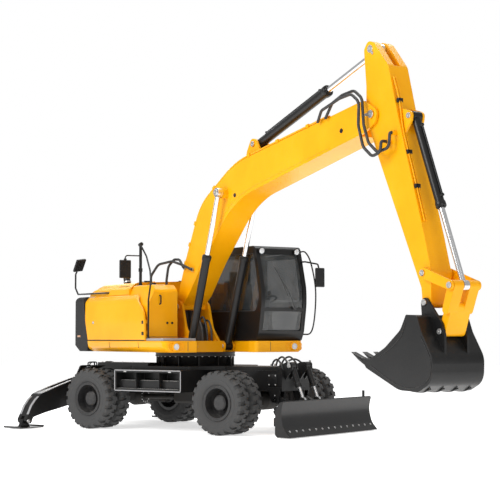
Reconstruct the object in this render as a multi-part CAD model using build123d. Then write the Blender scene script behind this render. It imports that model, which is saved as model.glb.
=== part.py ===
"""Wheeled excavator: carrier on twin tyres, dozer blade, stabilisers, slewing
superstructure with cab, one-piece boom, dipper and bucket.

Millimetres. Origin on the ground under the slewing axis, +X to the blade,
+Y to the left, +Z up. The superstructure is drawn facing +X in its own frame
and then turned by SLEW, so "upper frame" below means before that turn.
"""
import os
from math import atan2, cos, hypot, pi, sin

from build123d import *

# ---------------------------------------------------------------- driving sizes
RUNNING = 0.3            # radial clearance of every pin and spindle
SIDE_GAP = 6.0           # side clearance between swinging plates
GROUND_GAP = 18.0        # blade edge and stabiliser pads above the ground
SLEW = -20.0             # superstructure's heading, degrees about +Z

# wheels and axles
TYRE_R = 525.0
TYRE_W = 270.0
LUG_COUNT = 18           # lugs round a tyre
LUG_DEPTH = 45.0
TREAD_HALF = 118.0
TYRE_FACETS = 22         # flats of a sidewall
TWIN_GAP = 60.0
WHEEL_OUT = 1375.0       # outer sidewall from the centre line
RIM_SEAT_R = 254.0
RIM_FLANGE_R = 290.0
RIM_W = 200.0
FRONT_X = 1565.0
WHEELBASE = 2900.0
KINGPIN_Y = 690.0
KINGPIN_R = 32.0
SPINDLE_R = 62.0
HUB_R = 150.0
BEAM_H = 210.0
BEAM_L = 200.0
BULB_R = 160.0

# carrier frame
FRAME_TOP = 1100.0
FRAME_BOTTOM = 700.0
FRAME_W = 780.0
FRAME_REAR = -2120.0
FRAME_NOSE = 2180.0
RING_R = 700.0
RING_TOP = 1339.7
BOX_Y = 1270.0           # outer face of the side boxes
BOX_CLEAR = 45.0         # side boxes to the rear tyres
STEER_SWEEP = 820.0      # room the steered wheels turn in, behind their axle
BOX_BOTTOM = 675.0

# blade
BLADE_W = 2560.0
BLADE_EDGE_X = 2985.0
BLADE_TOP_Z = 575.0
BLADE_PIVOT = (2060.0, 560.0)
BLADE_EYE = (2490.0, 560.0)
BLADE_CYL_TOP = (2262.0, 1120.0)
BLADE_CYL_Y = 210.0
BLADE_ARM_Y = 340.0
BLADE_RETRACT = 178.0    # rod travel from here to fully in

# stabilisers
LEG_X = -2300.0
LEG_W = 230.0
LEG_PIVOT = (470.0, 760.0)
LEG_FOOT = (1940.0, 130.0)
LEG_EYE = (1150.0, 560.0)
LEG_CYL_BASE = (330.0, 1010.0)
PAD_L = 520.0
LEG_RETRACT = 114.0

# superstructure, upper frame
DECK_BOTTOM = 1340.0
DECK_TOP = 1530.0
DECK_REAR = -1780.0
HALF_W = 1250.0
TAIL_R = 2620.0
CAB_Y0 = 320.0
CAB_Y1 = 1250.0
CAB_WALL = 42.0
CAB_FLOOR = DECK_TOP
CAB_ROOF = 3150.0
CAB_REAR = -240.0

# digging gear, upper frame
BOOM_Y = -150.0
BOOM_FOOT = (150.0, 2120.0)
BOOM_NOSE = (5620.0, 4770.0)
BOOM_W = 470.0
BOOM_NOSE_W = 430.0
BOOM_CYL_BASE = (735.0, 1440.0)
BOOM_CYL_EYE = (1655.0, 3992.0)
BOOM_CYL_Y = 370.0
DIPPER_CYL_BASE = (2330.0, 4741.0)
DIPPER_TAIL = (5540.0, 5730.0)
DIPPER_W = 350.0
BUCKET_PIN = (6750.0, 2061.0)
LINK_PIN = (7060.0, 1668.0)
LEVER_PIN = (6755.0, 2455.0)
JOINT_PIN = (7300.0, 2275.0)
BUCKET_CYL_BASE = (6335.0, 4660.0)
BUCKET_W = 900.0
BUCKET_WALL = 26.0
BOOM_RETRACT = 794.0
DIPPER_RETRACT = 1000.0
BUCKET_RETRACT = 742.0
LINE_GAP = 7.0           # hoses stand this far off the boom's side

REAR_X = FRONT_X - WHEELBASE
BOX_REAR = REAR_X + TYRE_R + BOX_CLEAR
BOX_FRONT = FRONT_X - STEER_SWEEP
WHEEL_MID = WHEEL_OUT - TYRE_W - TWIN_GAP / 2
FRAME_HALF = FRAME_W / 2
PARTS = {}


# ---------------------------------------------------------------- shape helpers
def block(x0, x1, y0, y1, z0, z1):
    """Box between two corners."""
    centre = ((x0 + x1) / 2, (y0 + y1) / 2, (z0 + z1) / 2)
    return Pos(*centre) * Box(x1 - x0, y1 - y0, z1 - z0)


def outline(points, place):
    """Closed face of corners (u, v) or (u, v, fillet radius), placed in space."""
    corners = [place(p[0], p[1]) for p in points]
    radii = [p[2] if len(p) > 2 else 0 for p in points]
    return make_face(FilletPolyline(*corners, radius=radii, close=True))


def across(points, y0, y1):
    """Prism across the machine, of an outline in X and Z."""
    face = outline(points, lambda u, v: (u, y0, v))
    return extrude(face, amount=y1 - y0, dir=(0, 1, 0))


def along(points, x0, x1):
    """Prism along the machine, of an outline in Y and Z."""
    face = outline(points, lambda u, v: (x0, u, v))
    return extrude(face, amount=x1 - x0, dir=(1, 0, 0))


def upright(points, z0, z1):
    """Upright prism, of an outline in X and Y."""
    face = outline(points, lambda u, v: (u, v, z0))
    return extrude(face, amount=z1 - z0, dir=(0, 0, 1))


def rod(start, end, radius):
    """Round bar from one point to another."""
    axis = Vector(*end) - Vector(*start)
    return extrude(Plane(origin=start, z_dir=axis) * Circle(radius), amount=axis.length)


def pin(at, y0, y1, radius):
    """Round bar across the machine at a point (x, z)."""
    return rod((at[0], y0, at[1]), (at[0], y1, at[1]), radius)


def pair(shape):
    """A piece on the right and its mirror image on the left."""
    return shape + mirror(shape, about=Plane.XZ)


def toward(start, end, distance):
    """Point (x, z) at a distance from start on the way to end."""
    length = hypot(end[0] - start[0], end[1] - start[1])
    share = distance / length
    return (start[0] + (end[0] - start[0]) * share, start[1] + (end[1] - start[1]) * share)


def eye(at, y_mid, half, radius):
    """Flat-sided boss of a cylinder eye, solid."""
    return pin(at, y_mid - half, y_mid + half, radius)


def bar_xz(start, end, y, radius):
    """Round bar in the plane of one Y, between points (x, z)."""
    return rod((start[0], y, start[1]), (end[0], y, end[1]), radius)


BORE_FLOOR = 2.2         # depth of a barrel's solid end, in barrel radii


def barrel(base, tip, y, length, radius, pin_r, half, bore):
    """Cylinder barrel with its foot eye, gland ring and rod bore."""
    gland = toward(base, tip, length)
    collar = toward(base, tip, length - 1.1 * radius)
    shape = bar_xz(toward(base, tip, 0.9 * radius), gland, y, radius)
    shape += bar_xz(collar, gland, y, 1.14 * radius)
    shape += eye(base, y, half, 1.05 * radius)
    shape -= pin(base, y - 2 * half, y + 2 * half, pin_r + RUNNING)
    floor = toward(base, tip, BORE_FLOOR * radius)
    return shape - bar_xz(floor, toward(base, tip, length + radius), y, bore + RUNNING)


def feed_pipe(base, tip, y, length, radius):
    """Oil pipe along a barrel's upper side, with a port block at each end."""
    reach = hypot(tip[0] - base[0], tip[1] - base[1])
    up = (-(tip[1] - base[1]) / reach, (tip[0] - base[0]) / reach)
    if up[1] < 0:
        up = (-up[0], -up[1])
    shape = None
    ends = []
    for share in (0.13, 0.9):
        foot = toward(base, tip, share * length)
        top = (foot[0] + up[0] * (radius + 34), foot[1] + up[1] * (radius + 34))
        port = bar_xz((foot[0] + up[0] * (radius - 4), foot[1] + up[1] * (radius - 4)), top, y, 24)
        shape = port if shape is None else shape + port
        ends.append((top[0] - up[0] * 14, top[1] - up[1] * 14))
    return shape + bar_xz(ends[0], ends[1], y, 13)


def ram(base, tip, y, retract, sleeve, radius, eye_r, half, stub):
    """Piston rod with its eye and stubs, its inner end clear of the barrel's floor."""
    tail = BORE_FLOOR * sleeve + retract
    shape = bar_xz(toward(base, tip, tail), tip, y, radius)
    shape += eye(tip, y, half, eye_r)
    return shape + pin(tip, y - stub, y + stub, 0.62 * eye_r)


def bent(points, radius, bend):
    """Round tube of straight runs with rounded bends."""
    line = FilletPolyline(*points, radius=bend)
    return sweep(Plane(origin=line @ 0, z_dir=line % 0) * Circle(radius), path=line)


def keep(name, shape, slewed=False):
    """Store a finished piece under its node's name."""
    PARTS[name] = Rot(0, 0, SLEW) * shape if slewed else shape


# ---------------------------------------------------------------- wheels
def ring(profile, x):
    """Body of revolution about a wheel's axle, of an outline in radius and Y."""
    face = outline(profile, lambda r, y: (x + r, y, TYRE_R))
    return revolve(face, Axis((x, 0, TYRE_R), (0, 1, 0)), 360)


def facet_ring(x, y, radius):
    """Many-sided face across a wheel's axle."""
    return Plane(origin=(x, y, TYRE_R), z_dir=(0, 1, 0)) * RegularPolygon(radius, TYRE_FACETS)


def tread(x, y_mid):
    """Tread band with its lugs, the lowest lug flat on the ground."""
    pitch = 2 * pi / LUG_COUNT
    tip = TYRE_R / cos(0.25 * pitch)
    corners = []
    for i in range(LUG_COUNT):
        for share, r in ((-0.36, TYRE_R - LUG_DEPTH), (-0.25, tip), (0.25, tip),
                         (0.36, TYRE_R - LUG_DEPTH)):
            angle = (i + share) * pitch - pi / 2
            corners.append((x + r * cos(angle), TYRE_R + r * sin(angle)))
    return across(corners, y_mid - TREAD_HALF, y_mid + TREAD_HALF)


def tyre(x, y_mid):
    """One tyre: lugged tread, bulged sidewalls and the bead's seat."""
    half = TYRE_W / 2
    neck = 460
    bulge = 400
    flange = (RIM_FLANGE_R + RUNNING) / cos(pi / TYRE_FACETS)
    shape = tread(x, y_mid)
    for sign in (-1, 1):
        wall = [facet_ring(x, y_mid + sign * TREAD_HALF, neck), facet_ring(x, y_mid + sign * half, bulge)]
        shape += loft(wall, ruled=True)
        dish = [facet_ring(x, y_mid + sign * (RIM_W / 2 - 14), flange),
                facet_ring(x, y_mid + sign * (half + 1), bulge - 8)]
        shape -= loft(dish, ruled=True)
    seat = (RIM_SEAT_R + RUNNING) / cos(pi / TYRE_FACETS)
    hole = extrude(facet_ring(x, y_mid - half - 5, seat), amount=TYRE_W + 10, dir=(0, 1, 0))
    return shape - hole


def rim(x, y_mid, disc_side):
    """Welded rim: drop barrel, two flanges and a dished disc to the hub flange."""
    half = RIM_W / 2
    lip = half - 14
    wall = RIM_SEAT_R - 12
    profile = [
        (wall, y_mid - half), (RIM_FLANGE_R, y_mid - half), (RIM_FLANGE_R, y_mid - lip),
        (RIM_SEAT_R, y_mid - lip), (RIM_SEAT_R, y_mid + lip),
        (RIM_FLANGE_R, y_mid + lip), (RIM_FLANGE_R, y_mid + half), (wall, y_mid + half),
    ]
    flange = WHEEL_MID + disc_side * 12
    edge = y_mid - disc_side * (half - 30)
    disc = [
        (HUB_R + 10, flange), (HUB_R + 10, flange + disc_side * 14),
        (200, flange + disc_side * 14), (wall + 4, edge + disc_side * 14),
        (wall + 4, edge), (205, flange),
    ]
    return ring(profile, x) + ring(disc, x)


def hub(x):
    """Planetary hub: drum, mounting flange, stepped cover and blind spindle bore."""
    profile = [
        (SPINDLE_R + RUNNING, 772), (HUB_R - 15, 772), (HUB_R, 790),
        (HUB_R, WHEEL_MID - 12), (215, WHEEL_MID - 12), (215, WHEEL_MID + 12),
        (HUB_R, WHEEL_MID + 12), (HUB_R, WHEEL_MID + 90), (HUB_R - 22, WHEEL_MID + 112),
        (HUB_R - 22, WHEEL_MID + 185), (HUB_R - 45, WHEEL_MID + 205), (0, WHEEL_MID + 205),
        (0, WHEEL_MID + 150), (SPINDLE_R + RUNNING, WHEEL_MID + 150),
    ]
    return ring(profile, x)


def twin_wheel(label, x, side):
    """Two tyres on two rims and one hub, on the left (+1) or right (-1)."""
    near = WHEEL_OUT - TYRE_W / 2
    far = near - TYRE_W - TWIN_GAP
    tyres = tyre(x, near) + tyre(x, far)
    wheel = hub(x) + rim(x, near, 1) + rim(x, far, -1)
    if side < 0:
        tyres = mirror(tyres, about=Plane.XZ)
        wheel = mirror(wheel, about=Plane.XZ)
    keep(f"tyres_{label}", tyres)
    keep(f"wheel_{label}", wheel)


def wheels():
    for end, x in (("front", FRONT_X), ("rear", REAR_X)):
        for name, side in (("left", 1), ("right", -1)):
            twin_wheel(f"{end}_{name}", x, side)


# ---------------------------------------------------------------- axles
SPINDLE_END = WHEEL_MID + 140


def beam(x, half_span):
    """Axle beam with its differential housing."""
    low = TYRE_R - BEAM_H / 2
    high = TYRE_R + BEAM_H / 2
    shape = block(x - BEAM_L / 2, x + BEAM_L / 2, -half_span, half_span, low, high)
    shape = chamfer(shape.edges().filter_by(Axis.Y), 35)
    bulb = [(0, -230), (115, -230, 60), (BULB_R, -120, 60), (BULB_R, 120, 60), (115, 230, 60), (0, 230)]
    face = outline(bulb, lambda r, y: (x + r, y, TYRE_R))
    return shape + revolve(face, Axis((x, 0, TYRE_R), (0, 1, 0)), 360)


def rear_axle():
    spindle = rod((REAR_X, -755, TYRE_R), (REAR_X, -SPINDLE_END, TYRE_R), SPINDLE_R)
    brake = rod((REAR_X, -640, TYRE_R), (REAR_X, -764, TYRE_R), HUB_R - 10)
    seat = block(REAR_X - 90, REAR_X + 90, -FRAME_HALF + 40, -FRAME_HALF + 160,
                 TYRE_R + BEAM_H / 2 - 5, FRAME_BOTTOM)
    return beam(REAR_X, 660) + pair(spindle + brake + seat)


FORK_Z = 118.0
FORK_T = 42.0
TRUNNION_R = 50.0
TRUNNION_Z = FRAME_BOTTOM - 60.0
STEER_ARM = (-205.0, 615.0)
STEER_ROD_Z = TYRE_R - 116.0


def front_axle():
    """Beam with kingpin forks, the steering cylinder and the cradle pivot."""
    fork = [(FRONT_X - 75, -490), (FRONT_X - 75, -KINGPIN_Y, 70), (FRONT_X, -KINGPIN_Y - 75, 70),
            (FRONT_X + 75, -KINGPIN_Y, 70), (FRONT_X + 75, -490)]
    upper_fork = upright(fork, TYRE_R + FORK_Z, TYRE_R + FORK_Z + FORK_T)
    lower_fork = upright(fork, TYRE_R - FORK_Z - FORK_T, TYRE_R - FORK_Z)
    web = block(FRONT_X - 75, FRONT_X + 75, -530, -480,
                TYRE_R - FORK_Z - FORK_T, TYRE_R + FORK_Z + FORK_T)
    hole = rod((FRONT_X, -KINGPIN_Y, TYRE_R - 200), (FRONT_X, -KINGPIN_Y, TYRE_R + 200),
               KINGPIN_R + RUNNING)
    ends = pair(upper_fork + lower_fork + web - hole)
    cylinder_x = FRONT_X + STEER_ARM[0]
    sleeve = rod((cylinder_x, -230, STEER_ROD_Z), (cylinder_x, 230, STEER_ROD_Z), 48)
    sleeve += block(cylinder_x - 20, FRONT_X - 60, -160, -110, STEER_ROD_Z - 40, STEER_ROD_Z + 40)
    sleeve += block(cylinder_x - 20, FRONT_X - 60, 110, 160, STEER_ROD_Z - 40, STEER_ROD_Z + 40)
    bore = rod((cylinder_x, -300, STEER_ROD_Z), (cylinder_x, 300, STEER_ROD_Z), 22 + RUNNING)
    cradle = block(FRONT_X - 155, FRONT_X + 155, -70, 70, TYRE_R, TRUNNION_Z)
    trunnion = rod((FRONT_X - 210, 0, TRUNNION_Z), (FRONT_X + 210, 0, TRUNNION_Z), TRUNNION_R)
    return beam(FRONT_X, 510) + ends + (sleeve - bore) + cradle + trunnion


def knuckle(name, side):
    """Steering knuckle: kingpin stub, housing, steering arm and wheel spindle."""
    centre = (FRONT_X, -KINGPIN_Y)
    housing = rod((*centre, TYRE_R - FORK_Z + 4), (*centre, TYRE_R + FORK_Z - 4), 68)
    kingpin = rod((*centre, TYRE_R - FORK_Z - FORK_T), (*centre, TYRE_R + FORK_Z + FORK_T), KINGPIN_R)
    flange = rod((FRONT_X, -KINGPIN_Y - 40, TYRE_R), (FRONT_X, -764, TYRE_R), 108)
    spindle = rod((FRONT_X, -KINGPIN_Y, TYRE_R), (FRONT_X, -SPINDLE_END, TYRE_R), SPINDLE_R)
    arm_end = (FRONT_X + STEER_ARM[0], -STEER_ARM[1])
    arm_z = STEER_ROD_Z + 30
    arm = upright([(FRONT_X, -KINGPIN_Y - 34), (FRONT_X, -KINGPIN_Y + 34),
                   (arm_end[0], arm_end[1] + 26), (arm_end[0], arm_end[1] - 26)], arm_z, arm_z + 34)
    arm += rod((*arm_end, arm_z), (*arm_end, arm_z + 34), 32)
    shape = housing + kingpin + flange + spindle + arm
    keep(name, mirror(shape, about=Plane.XZ) if side > 0 else shape)


def steering_rod():
    """Through rod of the steering cylinder with a flat ball-joint end each side."""
    x = FRONT_X + STEER_ARM[0]
    end = STEER_ARM[1]
    shape = rod((x, -end, STEER_ROD_Z), (x, end, STEER_ROD_Z), 22)
    ball = rod((x, -end, STEER_ROD_Z - 26), (x, -end, STEER_ROD_Z + 28), 34)
    keep("steering_rod", shape + pair(ball))


# ---------------------------------------------------------------- carrier
PEDESTAL_TOP = 1265.0
WING_Y = 1000.0


def box_frame():
    """Box frame with a sloping rear and rounded nose."""
    return across([
        (FRAME_REAR, FRAME_BOTTOM), (FRAME_REAR, FRAME_TOP - 120, 40), (-1750, FRAME_TOP, 60),
        (FRAME_NOSE - 60, FRAME_TOP, 60), (FRAME_NOSE, FRAME_TOP - 90, 30),
        (FRAME_NOSE, FRAME_BOTTOM),
    ], -FRAME_HALF, FRAME_HALF)


def chassis():
    """Box frame with the hangers of the front axle, its nose and tail brackets."""
    frame = box_frame()
    # front cradle hangers that carry the axle's trunnion
    hanger = along([(-130, FRAME_BOTTOM), (-95, TRUNNION_Z - 67, 60), (95, TRUNNION_Z - 67, 60),
                    (130, FRAME_BOTTOM)], FRONT_X - 210, FRONT_X - 166)
    hangers = hanger + mirror(hanger, about=Plane((FRONT_X, 0, 0), z_dir=(1, 0, 0)))
    bore = rod((FRONT_X - 220, 0, TRUNNION_Z), (FRONT_X + 220, 0, TRUNNION_Z), TRUNNION_R + RUNNING)
    keep("chassis_frame", frame + (hangers - bore))
    keep("blade_brackets", blade_brackets() - frame)
    keep("stabiliser_frame", stabiliser_frame())


def turntable():
    """Wing plates, fenders, flared pedestal and slewing race under the deck."""
    wing = upright([(-640, -WING_Y, 120), (640, -WING_Y, 120), (980, -FRAME_HALF),
                    (-780, -FRAME_HALF)], FRAME_TOP - 60, FRAME_TOP)
    fender = block(-1420, -230, -WING_Y, -RING_R + 50, FRAME_TOP, FRAME_TOP + 55)
    pedestal = Pos(0, 0, (FRAME_TOP + PEDESTAL_TOP) / 2) * Cone(610, RING_R - 40, PEDESTAL_TOP - FRAME_TOP)
    race = rod((0, 0, PEDESTAL_TOP), (0, 0, RING_TOP), RING_R)
    keep("turntable", pair(wing + fender) + pedestal + race)


ARM_HALF = 45.0
CHEEK = 30.0


def blade_brackets():
    """Cheeks on the frame's nose for the blade arms and their cylinders."""
    px, pz = BLADE_PIVOT
    cx, cz = BLADE_CYL_TOP
    shape = None
    for edge in (-ARM_HALF - SIDE_GAP - CHEEK, ARM_HALF + SIDE_GAP):
        y0 = -BLADE_ARM_Y + edge
        lug = across([(px - 150, FRAME_BOTTOM + 60), (px - 75, pz - 50, 60), (px + 75, pz - 50, 60),
                      (px + 110, FRAME_BOTTOM + 60)], y0, y0 + CHEEK)
        shape = lug if shape is None else shape + lug
    shape += pin(BLADE_PIVOT, -BLADE_ARM_Y - ARM_HALF - SIDE_GAP - 20,
                 -BLADE_ARM_Y + ARM_HALF + SIDE_GAP + 20, 36)
    for edge in (-50 - SIDE_GAP - 26, 50 + SIDE_GAP):
        y0 = -BLADE_CYL_Y + edge
        shape += across([(FRAME_NOSE - 240, FRAME_TOP - 20), (cx - 60, cz + 60, 40),
                         (cx + 55, cz + 60, 50), (cx + 62, cz - 60, 50), (FRAME_NOSE - 5, FRAME_TOP - 220),
                         (FRAME_NOSE - 240, FRAME_TOP - 220)], y0, y0 + 26)
    shape += pin(BLADE_CYL_TOP, -BLADE_CYL_Y - 92, -BLADE_CYL_Y + 92, 30)
    return pair(shape)


def blade():
    """Curved mouldboard with end plates, cutting edge, back beam and arms."""
    bottom = GROUND_GAP
    top = BLADE_TOP_Z
    edge = BLADE_EDGE_X
    half = BLADE_W / 2
    board = across([(edge, bottom), (edge - 120, 150, 260), (edge - 180, 380, 420), (edge - 130, top),
                    (edge - 165, top), (edge - 215, 380, 420), (edge - 160, 140, 260),
                    (edge - 60, bottom)], -half, half)
    end = across([(edge, bottom), (edge - 120, 150, 260), (edge - 180, 380, 420), (edge - 130, top),
                  (edge - 190, top, 20), (edge - 285, 430, 60), (edge - 290, 60, 40),
                  (edge - 250, bottom, 20)], -half, -half + 22)
    beam_back = across([(edge - 330, 330, 20), (edge - 330, 190, 20), (edge - 160, 190),
                        (edge - 190, 330)], -half + 20, half - 20)
    px, pz = BLADE_PIVOT
    y0 = -BLADE_ARM_Y - ARM_HALF
    y1 = -BLADE_ARM_Y + ARM_HALF
    arm = across([(px - 62, pz - 62, 60), (px - 62, pz + 62, 60), (px + 62, pz + 62, 60),
                  (edge - 260, 330, 100), (edge - 260, 190), (px + 300, pz - 190, 300),
                  (px + 62, pz - 62, 60)], y0, y1)
    arm -= pin(BLADE_PIVOT, y0 - 5, y1 + 5, 36 + RUNNING)
    ex, ez = BLADE_EYE
    # ears on a cross tube between the arms, one pair for each cylinder
    tube = pin((ex + 40, 300), -BLADE_ARM_Y, BLADE_ARM_Y, 60)
    ear = None
    for inner in (-32 - SIDE_GAP - 22, 32 + SIDE_GAP):
        e0 = -BLADE_CYL_Y + inner
        plate = across([(ex - 45, ez - 45, 30), (ex - 45, ez + 42, 40), (ex + 45, ez + 42, 40),
                        (ex + 110, 330), (ex + 60, 260), (ex - 20, 280)], e0, e0 + 22)
        ear = plate if ear is None else ear + plate
    post = rod((edge - 178, half - 170, top - 60), (edge - 178, half - 170, top + 110), 22)
    shape = board + pair(end) + beam_back + pair(arm) + tube + pair(ear) + post
    keep("blade", shape)


def blade_cylinders():
    """Both blade cylinders, which always move together."""
    base, tip = BLADE_CYL_TOP, BLADE_EYE
    one = barrel(base, tip, -BLADE_CYL_Y, 380, 50, 30, 46, 27)
    keep("blade_barrels", pair(one))
    keep("blade_rods", pair(ram(base, tip, -BLADE_CYL_Y, BLADE_RETRACT, 50, 27, 44, 32, 32)))


def side_boxes():
    """Access boxes between the wheels: an open face with two deep step treads."""
    inner = FRAME_HALF + 20
    top = FRAME_TOP - 60
    rim = 45
    shell = block(BOX_REAR, BOX_FRONT, -BOX_Y, -inner, BOX_BOTTOM, top)
    mid = (BOX_BOTTOM + top) / 2
    treads = along([(-BOX_Y - 1, BOX_BOTTOM + rim), (-BOX_Y + 90, BOX_BOTTOM + rim), (-BOX_Y + 90, mid, 12),
                    (-BOX_Y + 230, mid), (-BOX_Y + 230, top - rim), (-BOX_Y - 1, top - rim)],
                   BOX_REAR + rim, BOX_FRONT - rim)
    keep("side_boxes", pair(shell - treads))


def drive_train():
    """Both axles, and the gearbox under the frame with a shaft to each."""
    box = block(-330, 120, -190, 190, 430, FRAME_BOTTOM)
    box = chamfer(box.edges().filter_by(Axis.X), 40)
    front = rod((110, 0, TYRE_R), (FRONT_X - BULB_R, 0, TYRE_R), 42)
    rear = rod((-320, 0, TYRE_R), (REAR_X + BULB_R, 0, TYRE_R), 42)
    joints = rod((120, 0, TYRE_R), (190, 0, TYRE_R), 68) + rod((-330, 0, TYRE_R), (-400, 0, TYRE_R), 68)
    keep("drive_train", rear_axle() + front_axle() + (box + front + rear + joints))


# ---------------------------------------------------------------- stabilisers
LEG_HALF = LEG_W / 2
PAD_PIN_R = 30.0
TOW_EYE_R = 27.0
TOW_EYE_BACK = 45.0
TOW_EYE_Z = 820.0


def leg_across(points, x0, x1):
    """Prism along X of an outline (y, z) drawn on the right, so y is negated."""
    return along([(-p[0], *p[1:]) for p in points], x0, x1)


def stabiliser_frame():
    """Rear box with the cheeks that carry the legs and their cylinders."""
    y, z = LEG_PIVOT
    x0 = LEG_X - LEG_HALF - SIDE_GAP - 30
    x1 = LEG_X + LEG_HALF + SIDE_GAP
    neck = block(x0, FRAME_REAR, -260, 260, FRAME_BOTTOM, FRAME_TOP - 175)
    shape = neck
    for start in (x0, x1):
        cheek = leg_across([(-200, FRAME_BOTTOM - 60, 60), (y + 60, FRAME_BOTTOM - 60, 60),
                            (y + 90, z + 60, 70), (LEG_CYL_BASE[0] + 70, 1080, 60), (-200, 1080, 60)],
                           start, start + 30)
        shape += pair(cheek)
    gap = block(x0 + 30, x1, -y - 400, -y + 245, FRAME_BOTTOM - 100, 1200)
    shape -= pair(gap)
    # a spine keeps the two cheeks together between the legs
    shape += block(x0, x1 + 30, -160, 160, FRAME_BOTTOM - 60, 1080)
    pins = rod((x0, -y, z), (x1 + 30, -y, z), 40)
    pins += rod((x0, -LEG_CYL_BASE[0], LEG_CYL_BASE[1]), (x1 + 30, -LEG_CYL_BASE[0], LEG_CYL_BASE[1]), 28)
    lug = across([(x0 + 5, 730), (x0 - 90, 760, 50), (x0 - 90, 880, 50), (x0 + 5, 910)], -20, 20)
    lug -= pin((x0 - TOW_EYE_BACK, TOW_EYE_Z), -30, 30, TOW_EYE_R)
    return shape + pair(pins) + lug


def stabiliser_leg(name, side):
    """Box leg: bent top plate, arched underside, a slot for the cylinder."""
    y, z = LEG_PIVOT
    fy, fz = LEG_FOOT
    shape = leg_across([(y - 62, z - 60, 60), (y - 62, z + 62, 60), (y + 120, z + 125, 200),
                        (1640, 600, 160), (1850, 400, 120), (fy + 72, fz - 10, 60),
                        (fy - 72, fz - 62, 60), (fy - 104, fz + 66, 80), (1540, 266, 180),
                        (1180, 330, 300), (y + 200, z - 330, 200)],
                       LEG_X - LEG_HALF, LEG_X + LEG_HALF)
    shape -= rod((LEG_X - 200, -y, z), (LEG_X + 200, -y, z), 40 + RUNNING)
    # channel down the middle where the cylinder lies
    shape -= leg_across([(y - 200, z - 20), (y + 40, z + 20), (1050, 410), (1300, 410),
                         (1300, 1200), (y - 200, 1200)], LEG_X - 58, LEG_X + 58)
    # slot for the pad's lug
    shape -= leg_across([(fy - 200, fz + 90), (fy + 200, fz + 90), (fy + 200, -50), (fy - 200, -50)],
                        LEG_X - 40, LEG_X + 40)
    shape += rod((LEG_X - LEG_HALF, -fy, fz), (LEG_X + LEG_HALF, -fy, fz), PAD_PIN_R)
    keep(name, mirror(shape, about=Plane.XZ) if side > 0 else shape)


def stabiliser_pad(name, side):
    """Ground pad with an upturned rim and a lug on the leg's pin."""
    fy, fz = LEG_FOOT
    half = PAD_L / 2
    plate = leg_across([(fy - half - 30, GROUND_GAP + 30), (fy - half, GROUND_GAP),
                        (fy + half, GROUND_GAP), (fy + half + 30, GROUND_GAP + 30),
                        (fy + half + 22, GROUND_GAP + 38), (fy + half - 6, GROUND_GAP + 14),
                        (fy - half + 6, GROUND_GAP + 14), (fy - half - 22, GROUND_GAP + 38)],
                       LEG_X - 210, LEG_X + 210)
    lug = leg_across([(fy - 110, GROUND_GAP + 10), (fy + 110, GROUND_GAP + 10),
                      (fy + 46, fz + 40, 44), (fy - 46, fz + 40, 44)], LEG_X - 34, LEG_X + 34)
    lug -= rod((LEG_X - 100, -fy, fz), (LEG_X + 100, -fy, fz), PAD_PIN_R + RUNNING)
    shape = plate + lug
    keep(name, mirror(shape, about=Plane.XZ) if side > 0 else shape)


def cross_rod(start, end, radius):
    """Round bar in the stabilisers' plane between points (y, z) on the right."""
    return rod((LEG_X, -start[0], start[1]), (LEG_X, -end[0], end[1]), radius)


def stabiliser_cylinder(label, side):
    base, tip = LEG_CYL_BASE, LEG_EYE
    shell = cross_rod(toward(base, tip, 40), toward(base, tip, 560), 44)
    shell += rod((LEG_X - 36, -base[0], base[1]), (LEG_X + 36, -base[0], base[1]), 48)
    shell -= rod((LEG_X - 60, -base[0], base[1]), (LEG_X + 60, -base[0], base[1]), 28 + RUNNING)
    floor = 95
    shell -= cross_rod(toward(base, tip, floor), toward(base, tip, 600), 26 + RUNNING)
    rod_shape = cross_rod(toward(base, tip, floor + LEG_RETRACT), tip, 26)
    rod_shape += rod((LEG_X - 36, -tip[0], tip[1]), (LEG_X + 36, -tip[0], tip[1]), 42)
    if side > 0:
        shell = mirror(shell, about=Plane.XZ)
        rod_shape = mirror(rod_shape, about=Plane.XZ)
    keep(f"stabiliser_barrel_{label}", shell)
    keep(f"stabiliser_rod_{label}", rod_shape)


def stabilisers():
    for label, side in (("right", -1), ("left", 1)):
        stabiliser_leg(f"stabiliser_leg_{label}", side)
        stabiliser_pad(f"stabiliser_pad_{label}", side)
        stabiliser_cylinder(label, side)


# ---------------------------------------------------------------- superstructure
TOWER_GAP = BOOM_W / 2 + SIDE_GAP
TOWER_T = 45.0
BOOM_PIN_R = 52.0
CYL_PIN_R = 38.0
CYL_HALF = 48.0
CYL_R = 68.0


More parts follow.
